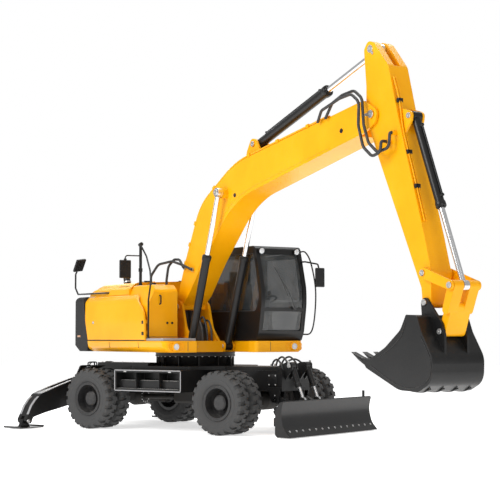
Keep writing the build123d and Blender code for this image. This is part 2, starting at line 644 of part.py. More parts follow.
def deck():
    """Deck with rolled skirts, boom towers, cylinder ears and bulkhead."""
    plan = [(DECK_REAR, -HALF_W), (1130, -HALF_W, 130), (1130, -560, 60), (760, -560),
            (760, 260), (1590, 260, 60), (1590, HALF_W, 160), (DECK_REAR, HALF_W)]
    skirt = upright(plan, DECK_BOTTOM, DECK_TOP)
    rolled = along([(-HALF_W - 1, DECK_TOP + 1), (-HALF_W, DECK_TOP - 20, 60),
                    (-HALF_W + 15, DECK_BOTTOM + 60, 90), (-HALF_W + 130, DECK_BOTTOM),
                    (HALF_W - 130, DECK_BOTTOM), (HALF_W - 15, DECK_BOTTOM + 60, 90),
                    (HALF_W, DECK_TOP - 20, 60), (HALF_W + 1, DECK_TOP + 1)], -2000, 2000)
    shape = skirt & rolled
    fx, fz = BOOM_FOOT
    for sign in (-1, 1):
        y0 = BOOM_Y + sign * TOWER_GAP
        y1 = y0 + sign * TOWER_T
        shape += across([(-424, DECK_TOP - 10), (-340, 1800, 300), (fx - 150, fz + 60, 120),
                         (fx, fz + 140, 120), (fx + 130, fz + 40, 120), (fx + 260, 1750, 200),
                         (640, DECK_TOP - 10)], min(y0, y1), max(y0, y1))
    shape += pin(BOOM_FOOT, BOOM_Y - TOWER_GAP - TOWER_T - 22, BOOM_Y + TOWER_GAP + TOWER_T + 22,
                 BOOM_PIN_R)
    cx, cz = BOOM_CYL_BASE
    for sign in (-1, 1):
        mid = BOOM_Y + sign * BOOM_CYL_Y
        # pocket in the deck's front edge, so that the barrel can swing down
        shape -= block(cx - 110, cx + 620, mid - CYL_R - 42, mid + CYL_R + 42,
                       DECK_BOTTOM - 10, DECK_TOP + 5)
        shape += block(cx - 260, cx - 105, mid - CYL_R - 42, mid + CYL_R + 42, DECK_BOTTOM, DECK_TOP)
        for edge in (-CYL_R - SIDE_GAP - 30, CYL_R + SIDE_GAP):
            shape += across([(cx - 190, DECK_BOTTOM), (cx + 30, DECK_BOTTOM, 40), (cx + 80, cz + 30, 60),
                             (cx, cz + 85, 70), (cx - 190, DECK_TOP)], mid + edge, mid + edge + 30)
        shape += pin(BOOM_CYL_BASE, mid - CYL_R - SIDE_GAP - 40, mid + CYL_R + SIDE_GAP + 40,
                     CYL_PIN_R)
    step = block(DOOR_FRONT, 1040, -HALF_W + 30, -600, DECK_TOP, DECK_TOP + STEP_T)
    keep("deck", shape + step, True)


STEP_T = 42.0
HOUSE_TOP = 2340.0
HOUSE_REAR = -1760.0
DOOR_FRONT = 440.0
PANEL = 36.0
TANK_TOP = 2500.0
RELAY_TOP = 2300.0


def house_frame():
    """Engine bay bulkhead, rear arch and posts that carry the doors and hood."""
    side = HALF_W - 150
    bulkhead = block(-470, -430, -side, 250, DECK_TOP, 2440)
    cab_bulkhead = along([(256, DECK_TOP), (HALF_W - 70, DECK_TOP), (HALF_W - 70, 2200),
                          (side, 2290), (side, 2330), (256, 2330)], -350, -310)
    tie = block(-470, -310, 220, 256, DECK_TOP, 2330)
    rear = block(DECK_REAR, DECK_REAR + 40, -side, side, DECK_TOP, DECK_TOP + 90)
    top = HOUSE_TOP + 4 - RUNNING
    posts = pair(block(DECK_REAR, DECK_REAR + 40, -side, -side + 40, DECK_TOP, top))
    rails = block(DECK_REAR, -430, -side, -side + 40, 2300, top)
    rails += block(DECK_REAR, -340, side - 40, side, 2300, top)
    keep("house_frame", bulkhead + cab_bulkhead + tie + rear + posts + rails, True)


def counterweight():
    """Cast tail weight: arc in plan, rolled top and tucked-in lower edge."""
    plan_arc = Pos(0, 0, (DECK_BOTTOM + HOUSE_TOP) / 2) * Cylinder(TAIL_R, HOUSE_TOP - DECK_BOTTOM)
    side = across([(-3000, DECK_BOTTOM), (DECK_REAR, DECK_BOTTOM), (DECK_REAR, DECK_TOP),
                   (-1985, HOUSE_TOP), (-3000, HOUSE_TOP)], -HALF_W, HALF_W)
    shape = side & plan_arc
    top = [e for e in shape.edges() if e.center().Z > HOUSE_TOP - 5 and e.center().X < -2050]
    shape = fillet(top, 95)
    low = [e for e in shape.edges() if e.center().Z < DECK_BOTTOM + 5 and e.center().X < -2050]
    shape = chamfer(low, 110, 170)
    keep("counterweight", shape, True)


def engine():
    keep("engine_block", block(-1650, -950, -560, 420, DECK_TOP, 2240), True)


HOOD_BACK = -1990.0
HOOD_FRONT = -480.0
HOOD_SIDE = HALF_W - 145.0
BAR_R = 16.0


def hood():
    """Ridged engine hood, a lid hinged along its front edge."""
    side = HOOD_SIDE
    section = [(-side, HOUSE_TOP + 4), (45 - side, 2440, 60), (-930, 2560, 120), (0, 2600, 3000),
               (930, 2560, 120), (side - 45, 2440, 60), (side, HOUSE_TOP + 4)]
    inner = [(PANEL - side, HOUSE_TOP), (PANEL + 45 - side, 2425, 40), (-920, 2526, 90), (0, 2564, 2900),
             (920, 2526, 90), (side - 45 - PANEL, 2425, 40), (side - PANEL, HOUSE_TOP)]
    slope = across([(HOOD_BACK, HOUSE_TOP), (HOOD_BACK - 20, 2400, 40), (-1400, 2700, 300),
                    (HOOD_FRONT, 2700), (HOOD_FRONT, HOUSE_TOP)], -1300, 1300)
    hollow = across([(HOOD_BACK + PANEL, HOUSE_TOP - 10), (HOOD_BACK - 20 + PANEL, 2375, 40),
                     (-1400 + PANEL, 2660, 300), (HOOD_FRONT - PANEL, 2660),
                     (HOOD_FRONT - PANEL, HOUSE_TOP - 10)], -1300, 1300)
    start = HOOD_BACK - 60
    outer = along(section, start, HOOD_FRONT) & slope
    shape = outer - (along(inner, start, HOOD_FRONT) & hollow)
    shape -= rod(PIPE_FOOT, PIPE_TIP, PIPE_BORE)
    keep("engine_hood", shape, True)
    hood_trim(outer)


PIPE_FOOT = (-1120, -760, 2500)
PIPE_TIP = (-1190, -760, 2700)
PIPE_BORE = 52.0


def hood_trim(lid):
    """Leaning tailpipe, and the rear bar that carries a mirror behind the weight."""
    pipe = rod(PIPE_FOOT, PIPE_TIP, PIPE_BORE + 10)
    beyond = [2 * t - f for t, f in zip(PIPE_TIP, PIPE_FOOT)]
    pipe -= rod(PIPE_FOOT, beyond, PIPE_BORE)
    y = -HOOD_SIDE - 28
    bar = bent([(-1250, -HOOD_SIDE + 70, 2395), (-1262, y, 2395), (-2440, y, 2400),
                (-2555, y, 2520), (-2555, y, 2780), (-2400, y, 2930)], BAR_R, 20)
    glass = Pos(-2385, y, 2945) * Rot(0, 38, 12) * fillet(Box(46, 210, 270).edges(), 16)
    keep("hood_trim", (pipe + bar + glass) - lid, True)


def side_door(name, side, front):
    """Bulged side door with a curved front edge on the right."""
    section = [(-HALF_W, DECK_TOP + 8), (-HALF_W - 14, 1900, 900), (-HALF_W + 30, 2240, 120),
               (-HALF_W + 130, HOUSE_TOP, 12), (-HALF_W + 138, HOUSE_TOP - 30, 12),
               (-HALF_W + 62, 2225, 100), (-HALF_W + 22, 1900, 900), (-HALF_W + PANEL, DECK_TOP + 8)]
    shape = along(section, HOUSE_REAR - 260, front)
    if side < 0:
        keepin = across([(-1965, HOUSE_TOP + 5), (HOUSE_REAR - 8, DECK_TOP), (front, DECK_TOP),
                         (front + 5, 1990, 380), (-60, HOUSE_TOP + 5, 200)], -2000, 2000)
    else:
        keepin = across([(-1965, HOUSE_TOP + 5), (HOUSE_REAR - 8, DECK_TOP), (front, DECK_TOP),
                         (front, HOUSE_TOP + 5)], -2000, 2000)
    shape = shape & keepin
    # buffers that seat the closed door on the panel behind it
    for z in (1640, 1830):
        shape += block(front - 60, front - 22, -HALF_W + 20, -HALF_W + 70 - RUNNING, z, z + 60)
    if side > 0:
        shape = mirror(shape, about=Plane.XZ)
    keep(name, shape, True)


def tank():
    """Fuel tank and tool locker ahead of the engine bay on the right."""
    shape = across([(-425, DECK_TOP), (DOOR_FRONT - 6, DECK_TOP), (DOOR_FRONT - 6, 2400, 90),
                    (300, TANK_TOP, 120), (-425, TANK_TOP)], -HALF_W + 70, -610)
    trim = along([(-HALF_W + 70, DECK_TOP - 5), (-HALF_W + 70, 2150, 60), (-HALF_W + 250, TANK_TOP + 5, 60),
                  (-600, TANK_TOP + 5), (-600, DECK_TOP - 5)], -500, 500)
    keep("fuel_tank", (shape & trim), True)


def hydraulics():
    """Swing motor and valve blocks between the boom towers and ahead of them."""
    motor = rod((420, BOOM_Y, DECK_TOP), (420, BOOM_Y, 1760), 120)
    motor += rod((420, BOOM_Y, 1760), (420, BOOM_Y, 1820), 90)
    valves = block(-410, -120, BOOM_Y - 225, BOOM_Y + 225, DECK_TOP, 2080)
    relay = block(-160, 120, -604, BOOM_Y - TOWER_GAP - TOWER_T - 30, 2120, RELAY_TOP)
    relay += block(-120, 80, -604, BOOM_Y - TOWER_GAP - TOWER_T - 50, DECK_TOP, 2130)
    keep("hydraulics", motor + valves + relay, True)


# ---------------------------------------------------------------- cab
CAB_SIDE = [(CAB_REAR, CAB_FLOOR), (1500, CAB_FLOOR, 60), (1575, 1680, 250), (1690, 2300, 900),
            (1465, CAB_ROOF, 90), (CAB_REAR, CAB_ROOF, 110)]
DOOR_OUTLINE = [(330, 1610, 30), (1400, 1610, 60), (1500, 1720, 200), (1590, 2290, 800),
                (1420, 3040, 60), (330, 3040, 60)]
DOOR_GAP = 8.0


def inset(points, amount):
    """The same outline moved inward, its corners kept."""
    count = len(points)
    moved = []
    for i, corner in enumerate(points):
        before, after = points[i - 1], points[(i + 1) % count]
        normals = []
        for a, b in ((before, corner), (corner, after)):
            length = hypot(b[0] - a[0], b[1] - a[1])
            normals.append((-(b[1] - a[1]) / length, (b[0] - a[0]) / length))
        nx, nz = normals[0][0] + normals[1][0], normals[0][1] + normals[1][1]
        scale = 2 * amount / (nx * nx + nz * nz)
        radius = max(corner[2] - amount, 1) if len(corner) > 2 else 0
        moved.append((corner[0] + nx * scale, corner[1] + nz * scale, radius))
    return moved


def cab_outer():
    """Cab's outer form: side outline across the width, corners rounded in plan."""
    body = across(CAB_SIDE, CAB_Y0, CAB_Y1)
    plan = upright([(CAB_REAR, CAB_Y0, 50), (1740, CAB_Y0, 110), (1740, CAB_Y1, 110),
                    (CAB_REAR, CAB_Y1, 50)], CAB_FLOOR - 5, CAB_ROOF + 5)
    return body & plan


WIN_Y0 = CAB_Y0 + 75
WIN_Y1 = CAB_Y1 - 75
RIGHT_WINDOW = [(-60, 2040, 50), (1480, 2040, 60), (1590, 2290, 300), (1420, 3020, 60), (-60, 3020, 60)]
REAR_QUARTER = [(-150, 2040, 40), (250, 2040, 40), (250, 3020, 40), (-150, 3020, 40)]


def windscreen_cut():
    upper = block(1380, 1800, WIN_Y0, WIN_Y1, 2090, 3010)
    lower = block(1380, 1800, WIN_Y0, WIN_Y1, 1700, 2030)
    return upper + lower


def cab_shell():
    """Hollow cab: walls with windows and doorway, and its floor and roof plates."""
    inner = across(inset(CAB_SIDE, CAB_WALL), CAB_Y0 + CAB_WALL, CAB_Y1 - CAB_WALL)
    shape = cab_outer() - inner
    shape -= windscreen_cut()
    shape -= across(RIGHT_WINDOW, CAB_Y0 - 5, CAB_Y0 + CAB_WALL + 5)
    shape -= across(REAR_QUARTER, CAB_Y1 - CAB_WALL - 5, CAB_Y1 + 5)
    shape -= block(CAB_REAR - 5, CAB_REAR + CAB_WALL + 5, WIN_Y0, WIN_Y1, 2380, 3020)
    shape -= across(inset(DOOR_OUTLINE, -DOOR_GAP), CAB_Y1 - CAB_WALL - 5, CAB_Y1 + 5)
    # hinge seats that carry the door's rear edge
    for z in (1790, 2770):
        shape += block(310, DOOR_OUTLINE[0][0] - RUNNING, CAB_Y1 - CAB_WALL, CAB_Y1, z, z + 80)
    x0, x1 = CAB_REAR - 50, 1800
    floor = block(x0, x1, CAB_Y0 - 50, CAB_Y1 + 50, CAB_FLOOR - 50, CAB_FLOOR + CAB_WALL)
    roof = block(x0, x1, CAB_Y0 - 50, CAB_Y1 + 50, CAB_ROOF - CAB_WALL, CAB_ROOF + 50)
    keep("cab_shell", shape - floor - roof, True)
    keep("cab_panels", (shape & floor) + (shape & roof), True)


def cab_door():
    """Door frame with two window openings."""
    shape = across(DOOR_OUTLINE, CAB_Y1 - CAB_WALL, CAB_Y1)
    shape -= across(DOOR_GLASS_UPPER, CAB_Y1 - 100, CAB_Y1 + 10)
    shape -= across(DOOR_GLASS_LOWER, CAB_Y1 - 100, CAB_Y1 + 10)
    keep("cab_door", shape, True)
    pane_y = CAB_Y1 - CAB_WALL / 2
    glass = across(DOOR_GLASS_UPPER, pane_y - 4, pane_y + 4)
    glass += across(DOOR_GLASS_LOWER, pane_y - 4, pane_y + 4)
    keep("cab_door_glass", glass, True)


DOOR_GLASS_UPPER = [(420, 2200, 40), (1490, 2200, 60), (1500, 2300, 60), (1370, 2960, 50), (420, 2960, 50)]
DOOR_GLASS_LOWER = [(420, 1720, 40), (1380, 1720, 60), (1480, 2110, 60), (420, 2110, 40)]


def cab_glass():
    """Window panes seated in the shell's openings."""
    skin = cab_outer()
    core = across(inset(CAB_SIDE, 18), CAB_Y0, CAB_Y1)
    deeper = across(inset(CAB_SIDE, 26), CAB_Y0, CAB_Y1)
    front = (core - deeper) & skin & windscreen_cut()
    side_y = CAB_Y0 + CAB_WALL / 2
    right = across(RIGHT_WINDOW, side_y - 4, side_y + 4)
    quarter = across(REAR_QUARTER, CAB_Y1 - CAB_WALL / 2 - 4, CAB_Y1 - CAB_WALL / 2 + 4)
    rear = block(CAB_REAR + 17, CAB_REAR + 25, WIN_Y0, WIN_Y1, 2380, 3020)
    keep("cab_glass", front + right + quarter + rear, True)


def cab_interior():
    """Seat on its pedestal, consoles with levers, steering column and wheel."""
    floor = CAB_FLOOR + CAB_WALL
    mid = (CAB_Y0 + CAB_Y1) / 2
    shape = block(150, 620, mid - 210, mid + 210, floor, floor + 260)
    shape += block(120, 680, mid - 250, mid + 250, floor + 255, floor + 390)
    shape += across([(120, floor + 385), (250, floor + 385), (150, floor + 1020, 40), (40, floor + 1020, 40)],
                    mid - 230, mid + 230)
    for sign in (-1, 1):
        y0 = mid + sign * 300
        shape += block(250, 700, min(y0, y0 + sign * 90), max(y0, y0 + sign * 90), floor + 380, floor + 520)
        shape += block(200, 420, min(mid, y0 + sign * 90), max(mid, y0 + sign * 90), floor + 120, floor + 390)
        shape += rod((640, y0 + sign * 45, floor + 515), (655, y0 + sign * 45, floor + 690), 18)
    column = rod((1274, mid, floor - 60), (1130, mid, floor + 640), 45)
    column -= block(1000, 1500, mid - 100, mid + 100, floor - 200, floor)
    wheel = Torus(170, 16) + Pos(0, 0, -30) * Cylinder(24, 90)
    wheel += Box(330, 28, 20)
    column += Pos(1120, mid, floor + 670) * Rot(0, -22, 0) * wheel
    keep("cab_interior", shape + column, True)


# ---------------------------------------------------------------- boom
EAR_GAP = 60.0           # half gap between the dipper's tail cheeks
BASE_GAP = 84.0          # half gap between the ears of the two upper cylinders


BOOM_SIDE = [
    (40, 2035, 60), (-5, 2185, 90), (245, 2745, 900), (835, 3850, 1000), (1960, 4460, 2200),
    (5440, 4995, 150), (BOOM_NOSE[0] + 135, BOOM_NOSE[1] + 40, 100),
    (BOOM_NOSE[0] + 90, BOOM_NOSE[1] - 130, 90), (5430, 4520, 250), (1936, 3850, 1900),
    (900, 2860, 1500), (420, 2315, 200)]


def boom():
    """One-piece boom: bent box, forked nose, cylinder bosses and top ears."""
    nx, nz = BOOM_NOSE
    shape = across(BOOM_SIDE, BOOM_Y - BOOM_W / 2, BOOM_Y + BOOM_W / 2)
    taper = (BOOM_W - BOOM_NOSE_W) / 2
    for sign in (-1, 1):
        edge = BOOM_Y + sign * BOOM_W / 2
        shape -= upright([(1800, edge), (6200, edge - sign * taper), (6200, edge + sign * 50),
                          (1800, edge + sign * 50)], 3000, 6000)
    shape -= pin(BOOM_FOOT, BOOM_Y - BOOM_W, BOOM_Y + BOOM_W, BOOM_PIN_R + RUNNING)
    slot = DIPPER_W / 2 + SIDE_GAP
    # fork at the nose; its end plate leans back so that the dipper can swing out flat
    shape -= across([(nx - 830, nz + 330), (nx - 790, nz + 123), (nx - 472, nz + 9), (nx - 330, nz - 120),
                     (nx - 330, nz - 700), (nx + 400, nz - 700), (nx + 400, nz + 700),
                     (nx - 830, nz + 700)], BOOM_Y - slot, BOOM_Y + slot)
    shape += pin(BOOM_NOSE, BOOM_Y - BOOM_NOSE_W / 2 - 24, BOOM_Y + BOOM_NOSE_W / 2 + 24, 50)
    for sign in (-1, 1):
        y0 = BOOM_Y + sign * (BOOM_W / 2 - 5)
        y1 = BOOM_Y + sign * (BOOM_CYL_Y - CYL_HALF - SIDE_GAP)
        shape += pin(BOOM_CYL_EYE, min(y0, y1), max(y0, y1), 92)
    ex, ez = DIPPER_CYL_BASE
    for y0 in (BOOM_Y - BASE_GAP - 34, BOOM_Y + BASE_GAP):
        shape += across([(ex - 260, 4400), (ex - 190, 4640, 120), (ex - 60, ez + 95, 90),
                         (ex + 75, ez + 80, 90), (ex + 210, 4620, 100), (ex + 380, 4450)], y0, y0 + 34)
    shape += pin(DIPPER_CYL_BASE, BOOM_Y - BASE_GAP - 50, BOOM_Y + BASE_GAP + 50, 40)
    keep("boom", shape, True)


def boom_cylinders():
    one = barrel(BOOM_CYL_BASE, BOOM_CYL_EYE, BOOM_CYL_Y, 1610, CYL_R, CYL_PIN_R, CYL_R - 5, 42)
    both = one + mirror(one, about=Plane.XZ)
    rods = ram(BOOM_CYL_BASE, BOOM_CYL_EYE, BOOM_CYL_Y, BOOM_RETRACT, CYL_R, 42, 78, CYL_HALF,
               CYL_HALF + 16)
    # the stub would touch the boom's boss, so it only stands out on the far side
    rods -= block(1000, 2400, BOOM_CYL_Y - CYL_HALF - 40, BOOM_CYL_Y - CYL_HALF, 3500, 4500)
    both_rods = rods + mirror(rods, about=Plane.XZ)
    keep("boom_barrels", Pos(0, BOOM_Y, 0) * both, True)
    keep("boom_rods", Pos(0, BOOM_Y, 0) * both_rods, True)


PIPE_R = 15.0
HOSE_R = 22.0
BOOM_FACE = BOOM_Y - BOOM_W / 2
HOSE_Y = BOOM_FACE - LINE_GAP - RUNNING
HOSE_END_A = (603.0, 2760.0)
HOSE_END_B = (330.0, 2800.0)
NOSE_END_A = (6110.0, 4440.0)
NOSE_END_B = (5985.0, 4330.0)


def boom_lines():
    """Pipes along the boom's right upper edge, and the hoses of its nose."""
    shape = across([(235, 2790), (300, 2925), (440, 2850), (650, 2810), (650, 2712), (380, 2730)],
                   BOOM_FACE - LINE_GAP, BOOM_FACE + 75)
    route = inset(BOOM_SIDE, 26)[2:6]
    first = toward(route[0], route[1], 130)
    last = toward(route[3], route[2], 900)
    for y in (BOOM_FACE + 20, BOOM_FACE + 54):
        points = [(p[0], y, p[1]) for p in (first, route[1], route[2], last)]
        shape += bent(points, PIPE_R, [route[1][2], route[2][2]])
    # clamps that seat the pipes on the boom's top plate
    for i, share in ((2, 0.4), (2, 0.72), (3, 0.4), (4, 0.12), (4, 0.36), (4, 0.6)):
        a, b = BOOM_SIDE[i], BOOM_SIDE[i + 1]
        turn = atan2(b[1] - a[1], b[0] - a[0]) * 180 / pi
        clamp = Pos(0, 0, 22) * Box(70, 92, 52)
        at = Pos(a[0] + (b[0] - a[0]) * share, BOOM_FACE + 37, a[1] + (b[1] - a[1]) * share)
        shape += at * Rot(0, -turn, 0) * clamp
    keep("boom_pipes", shape, True)
    PARTS["boom_pipes"] -= PARTS["boom"]
    hoses = nose_hose((4560, 4905), NOSE_END_A, 0, 0) + nose_hose((4360, 4875), NOSE_END_B, 56, 54)
    keep("boom_hoses", hoses, True)


def nose_hose(start, end, drop, out):
    """Slack S-shaped hose beside the boom's nose, its last bend turned to the dipper."""
    y = HOSE_Y - 34 - out
    sx, sz = start
    ex, ez = end
    points = [(sx, HOSE_Y - HOSE_R, sz - 60), (sx + 190, y, sz + 140 - drop), (5010, y - 10, 5125 - drop),
              (5310, y - 16, 5150 - drop), (5500, y - 18, 5010 - drop), (5536 - drop, y - 18, 4620),
              (5640 - drop, y - 14, 4350 - drop), (5840 - drop, y - 10, 4190 - drop),
              (ex - 20, y - 4, 4230 - drop), (ex, y, ez), (ex, HOSE_Y, ez)]
    return bent(points, HOSE_R, [140, 200, 160, 150, 200, 150, 120, 90, 32])


# ---------------------------------------------------------------- dipper
def dipper():
    """Dipper: tapered box with a forked tail, pivot boss, cylinder and link seats."""
    nx, nz = BOOM_NOSE
    bx, bz = BUCKET_PIN
    half = DIPPER_W / 2
    shape = across([(5400, 5740, 60), (5500, 5860, 90), (5640, 5800, 120), (5960, 5420, 150),
                    (6170, 4660, 500), (6720, 2940, 300), (6850, 2480, 90), (bx + 90, bz - 80, 80),
                    (bx - 80, bz - 75, 80), (6640, 2260, 60), (6222, 3120, 400), (5740, 4100, 400),
                    (nx - 175, nz - 20, 150), (5450, 5200, 200)],
                   BOOM_Y - half, BOOM_Y + half)
    shape -= pin(BOOM_NOSE, BOOM_Y - 300, BOOM_Y + 300, 50 + RUNNING)
    # fork at the tail, open for the rod's eye
    shape -= block(5100, 6400, BOOM_Y - EAR_GAP, BOOM_Y + EAR_GAP, 5430, 6200)
    ex, ez = BUCKET_CYL_BASE
    for y0 in (BOOM_Y - BASE_GAP - 34, BOOM_Y + BASE_GAP):
        shape += across([(6110, 4800), (ex - 40, ez + 85, 70), (ex + 70, ez + 40, 70),
                         (ex + 50, ez - 80, 70), (6230, 4400)], y0, y0 + 34)
    shape += pin(BUCKET_CYL_BASE, BOOM_Y - BASE_GAP - 44, BOOM_Y + BASE_GAP + 44, 36)
    shape += pin(LEVER_PIN, BOOM_Y - LEVER_IN + SIDE_GAP, BOOM_Y + LEVER_IN - SIDE_GAP, 78)
    shape += pin(LEVER_PIN, BOOM_Y - LEVER_OUT - 14, BOOM_Y + LEVER_OUT + 14, 38)
    shape += pin(BUCKET_PIN, BOOM_Y - EAR_OUT - 14, BOOM_Y + EAR_OUT + 14, 40)
    # ports where the nose hoses end, level with the boom's outer face
    for end in (NOSE_END_A, NOSE_END_B):
        shape += pin(end, BOOM_FACE - LINE_GAP, BOOM_Y - half + 10, 34)
    keep("dipper", shape, True)


LEVER_IN = 222.0
LEVER_OUT = 250.0
EAR_IN = DIPPER_W / 2 + SIDE_GAP
EAR_OUT = EAR_IN + 34.0
ROD_EYE_HALF = 46.0
LINK_IN = ROD_EYE_HALF + SIDE_GAP
LINK_OUT = LEVER_IN - SIDE_GAP


def dipper_cylinder():
    base, tip = DIPPER_CYL_BASE, DIPPER_TAIL
    shell = barrel(base, tip, BOOM_Y, 2030, 78, 40, 72, 48)
    keep("dipper_barrel", shell + feed_pipe(base, tip, BOOM_Y, 2030, 78), True)
    keep("dipper_rod", ram(base, tip, BOOM_Y, DIPPER_RETRACT, 78, 48, 88, 52, 52), True)


def bucket_cylinder():
    base, tip = BUCKET_CYL_BASE, JOINT_PIN
    shell = barrel(base, tip, BOOM_Y, 1410, 64, 36, 72, 40)
    keep("bucket_barrel", shell + feed_pipe(base, tip, BOOM_Y, 1410, 64), True)
    keep("bucket_rod", ram(base, tip, BOOM_Y, BUCKET_RETRACT, 64, 40, 72, ROD_EYE_HALF, ROD_EYE_HALF), True)


def strap(start, end, radius_a, radius_b, y0, y1):
    """Flat link plate with round ends."""
    angle = atan2(end[1] - start[1], end[0] - start[0])
    side = (-sin(angle), cos(angle))
    body = across([(start[0] + side[0] * radius_a, start[1] + side[1] * radius_a),
                   (end[0] + side[0] * radius_b, end[1] + side[1] * radius_b),
                   (end[0] - side[0] * radius_b, end[1] - side[1] * radius_b),
                   (start[0] - side[0] * radius_a, start[1] - side[1] * radius_a)], y0, y1)
    return body + pin(start, y0, y1, radius_a) + pin(end, y0, y1, radius_b)


def tipping_lever():
    """Two straps from the dipper, each with its own stub of the common pin."""
    shape = None
    for sign in (-1, 1):
        y0, y1 = sorted((BOOM_Y + sign * LEVER_IN, BOOM_Y + sign * LEVER_OUT))
        one = strap(LEVER_PIN, JOINT_PIN, 72, 66, y0, y1)
        one -= pin(LEVER_PIN, y0 - 10, y1 + 10, 38 + RUNNING)
        s0, s1 = sorted((BOOM_Y + sign * (LINK_IN + 2), BOOM_Y + sign * (LEVER_OUT + 12)))
        one += pin(JOINT_PIN, s0, s1, 38)
        shape = one if shape is None else shape + one
    keep("tipping_lever", shape, True)


def tipping_link():
    """Yellow link: a forked top on the common pin and one broad lower boss."""
    lower = EAR_IN - SIDE_GAP
    shape = None
    for sign in (-1, 1):
        y0, y1 = sorted((BOOM_Y + sign * LINK_IN, BOOM_Y + sign * LINK_OUT))
        cheek = strap(JOINT_PIN, toward(JOINT_PIN, LINK_PIN, 340), 70, 62, y0, y1)
        shape = cheek if shape is None else shape + cheek
    start = toward(JOINT_PIN, LINK_PIN, 300)
    shape += strap(start, LINK_PIN, 60, 66, BOOM_Y - lower, BOOM_Y + lower)
    shape -= pin(JOINT_PIN, BOOM_Y - 300, BOOM_Y + 300, 38 + RUNNING)
    # room for the rod's eye, which may drift from the pin
    shape -= pin(JOINT_PIN, BOOM_Y - LINK_IN, BOOM_Y + LINK_IN, 225)
    keep("tipping_link", shape, True)


# ---------------------------------------------------------------- bucket
TOOTH_COUNT = 5
BUCKET_SIDE = [(6640, 1895, 25), (6870, 1880, 50), (6962, 1660, 200), (7185, 1325, 260),
               (7170, 1000, 220), (6890, 868, 120), (6480, 880, 500), (5760, 1165),
               (5700, 1230), (5925, 1330, 60), (6180, 1450, 400), (6520, 1690, 300)]


def bucket():
    """Bucket: wrapper, side plates, ears, lip and teeth."""
    half = BUCKET_W / 2
    y0, y1 = BOOM_Y - half, BOOM_Y + half
    outer = across(BUCKET_SIDE, y0, y1)
    cavity = across([(6560, 2100), (6700, 1850, 30), (6843, 1845, 30), (6932, 1643, 180), (7153, 1318, 235),
                     (7135, 1025, 195), (6885, 902, 100), (6485, 914, 480), (5790, 1205),
                     (5500, 1400), (5800, 2000)], y0 + BUCKET_WALL, y1 - BUCKET_WALL)
    shape = outer - cavity
    ear_outline = [(BUCKET_PIN[0] - 78, BUCKET_PIN[1] + 20, 70), (BUCKET_PIN[0] + 20, BUCKET_PIN[1] + 85, 75),
                   (BUCKET_PIN[0] + 110, BUCKET_PIN[1] - 20, 80), (LINK_PIN[0] + 40, LINK_PIN[1] + 110, 90),
                   (LINK_PIN[0] + 90, LINK_PIN[1] - 40, 80), (7150, 1330), (6960, 1600), (6690, 1872)]
    for sign in (-1, 1):
        e0, e1 = sorted((BOOM_Y + sign * EAR_IN, BOOM_Y + sign * EAR_OUT))
        ear = across(ear_outline, e0, e1)
        ear -= pin(BUCKET_PIN, e0 - 5, e1 + 5, 40 + RUNNING)
        shape += ear
        stub0, stub1 = sorted((BOOM_Y + sign * EAR_IN, BOOM_Y + sign * (EAR_OUT + 14)))
        shape += pin(LINK_PIN, stub0, stub1, 36)
    step = (BUCKET_W - 120) / (TOOTH_COUNT - 1)
    for i in range(TOOTH_COUNT):
        y = y0 + 60 + i * step
        shape += across([(5840, 1150), (5640, 1235), (5390, 1385), (5640, 1300), (5800, 1285)],
                        y - 45, y + 45)
    keep("bucket", shape, True)


# ---------------------------------------------------------------- trim
def lamps():
    """Lamps in the deck's front corners."""
    shape = None
    for x, y in ((1130, -1030), (1590, 1030)):
        lamp = rod((x, y, 1435), (x + 22, y, 1435), 52)
        shape = lamp if shape is None else shape + lamp
    keep("lamps", shape, True)


MAST = (-380.0, -900.0)
RAIL_R = 15.0


def rails():
    """Mast with its mirror and grab rail, and the mirror at the cab's left front."""
    mx, my = MAST
    post = rod((mx, my, TANK_TOP), (mx, my, 3260), 26)
    post += rod((mx - 30, my, 3225), (mx + 40, my, 3240), 34)
    out = my - 304
    glass = Pos(mx, out, 2790) * fillet(Box(44, 220, 320).edges(), 16)
    arm = bent([(mx, out, 2940), (mx, out, 3030), (mx, my, 3030)], 11, 50)
    grab = bent([(mx, my, 3225), (-69, -950, 3010), (254, -1050, 2745), (452, -1140, 2535),
                 (466, -1195, 2230), (466, -1195, DECK_TOP + STEP_T)], RAIL_R, [300, 400, 260, 300])
    keep("mast_rail", post + arm + glass + grab + cab_mirror(), True)


def cab_mirror():
    """Mirror on a bent arm at the cab's left front post."""
    y = CAB_Y1 - 25
    arm = bent([(1537.9, y, 2890), (1640, y + 10, 2890), (1890, y + 100, 2840), (1935, y + 110, 2700)],
               14, 40)
    glass = Pos(1935, y + 110, 2610) * fillet(Box(50, 180, 330).edges(), 18)
    return arm + glass


def deck_hoses():
    """Two hoses that arch from the tank and the valve box to the boom's foot."""
    y = HOSE_Y - 40
    ax, az = HOSE_END_A
    bx, bz = HOSE_END_B
    first = bent([(-400, -680, TANK_TOP), (-400, -680, 2680), (-260, -610, 2880), (70, -520, 2925),
                  (390, y - 50, 2845), (ax, y, az), (ax, HOSE_Y, az)], HOSE_R,
                 [130, 150, 180, 120, 30])
    second = bent([(-100, -530, RELAY_TOP), (-100, -530, 2600), (-90, -500, 2840), (30, y - 20, 2960),
                   (200, y - 5, 2950), (bx, y, bz), (bx, HOSE_Y, bz)], HOSE_R,
                  [150, 130, 90, 110, 30])
    keep("deck_hoses", first + second, True)


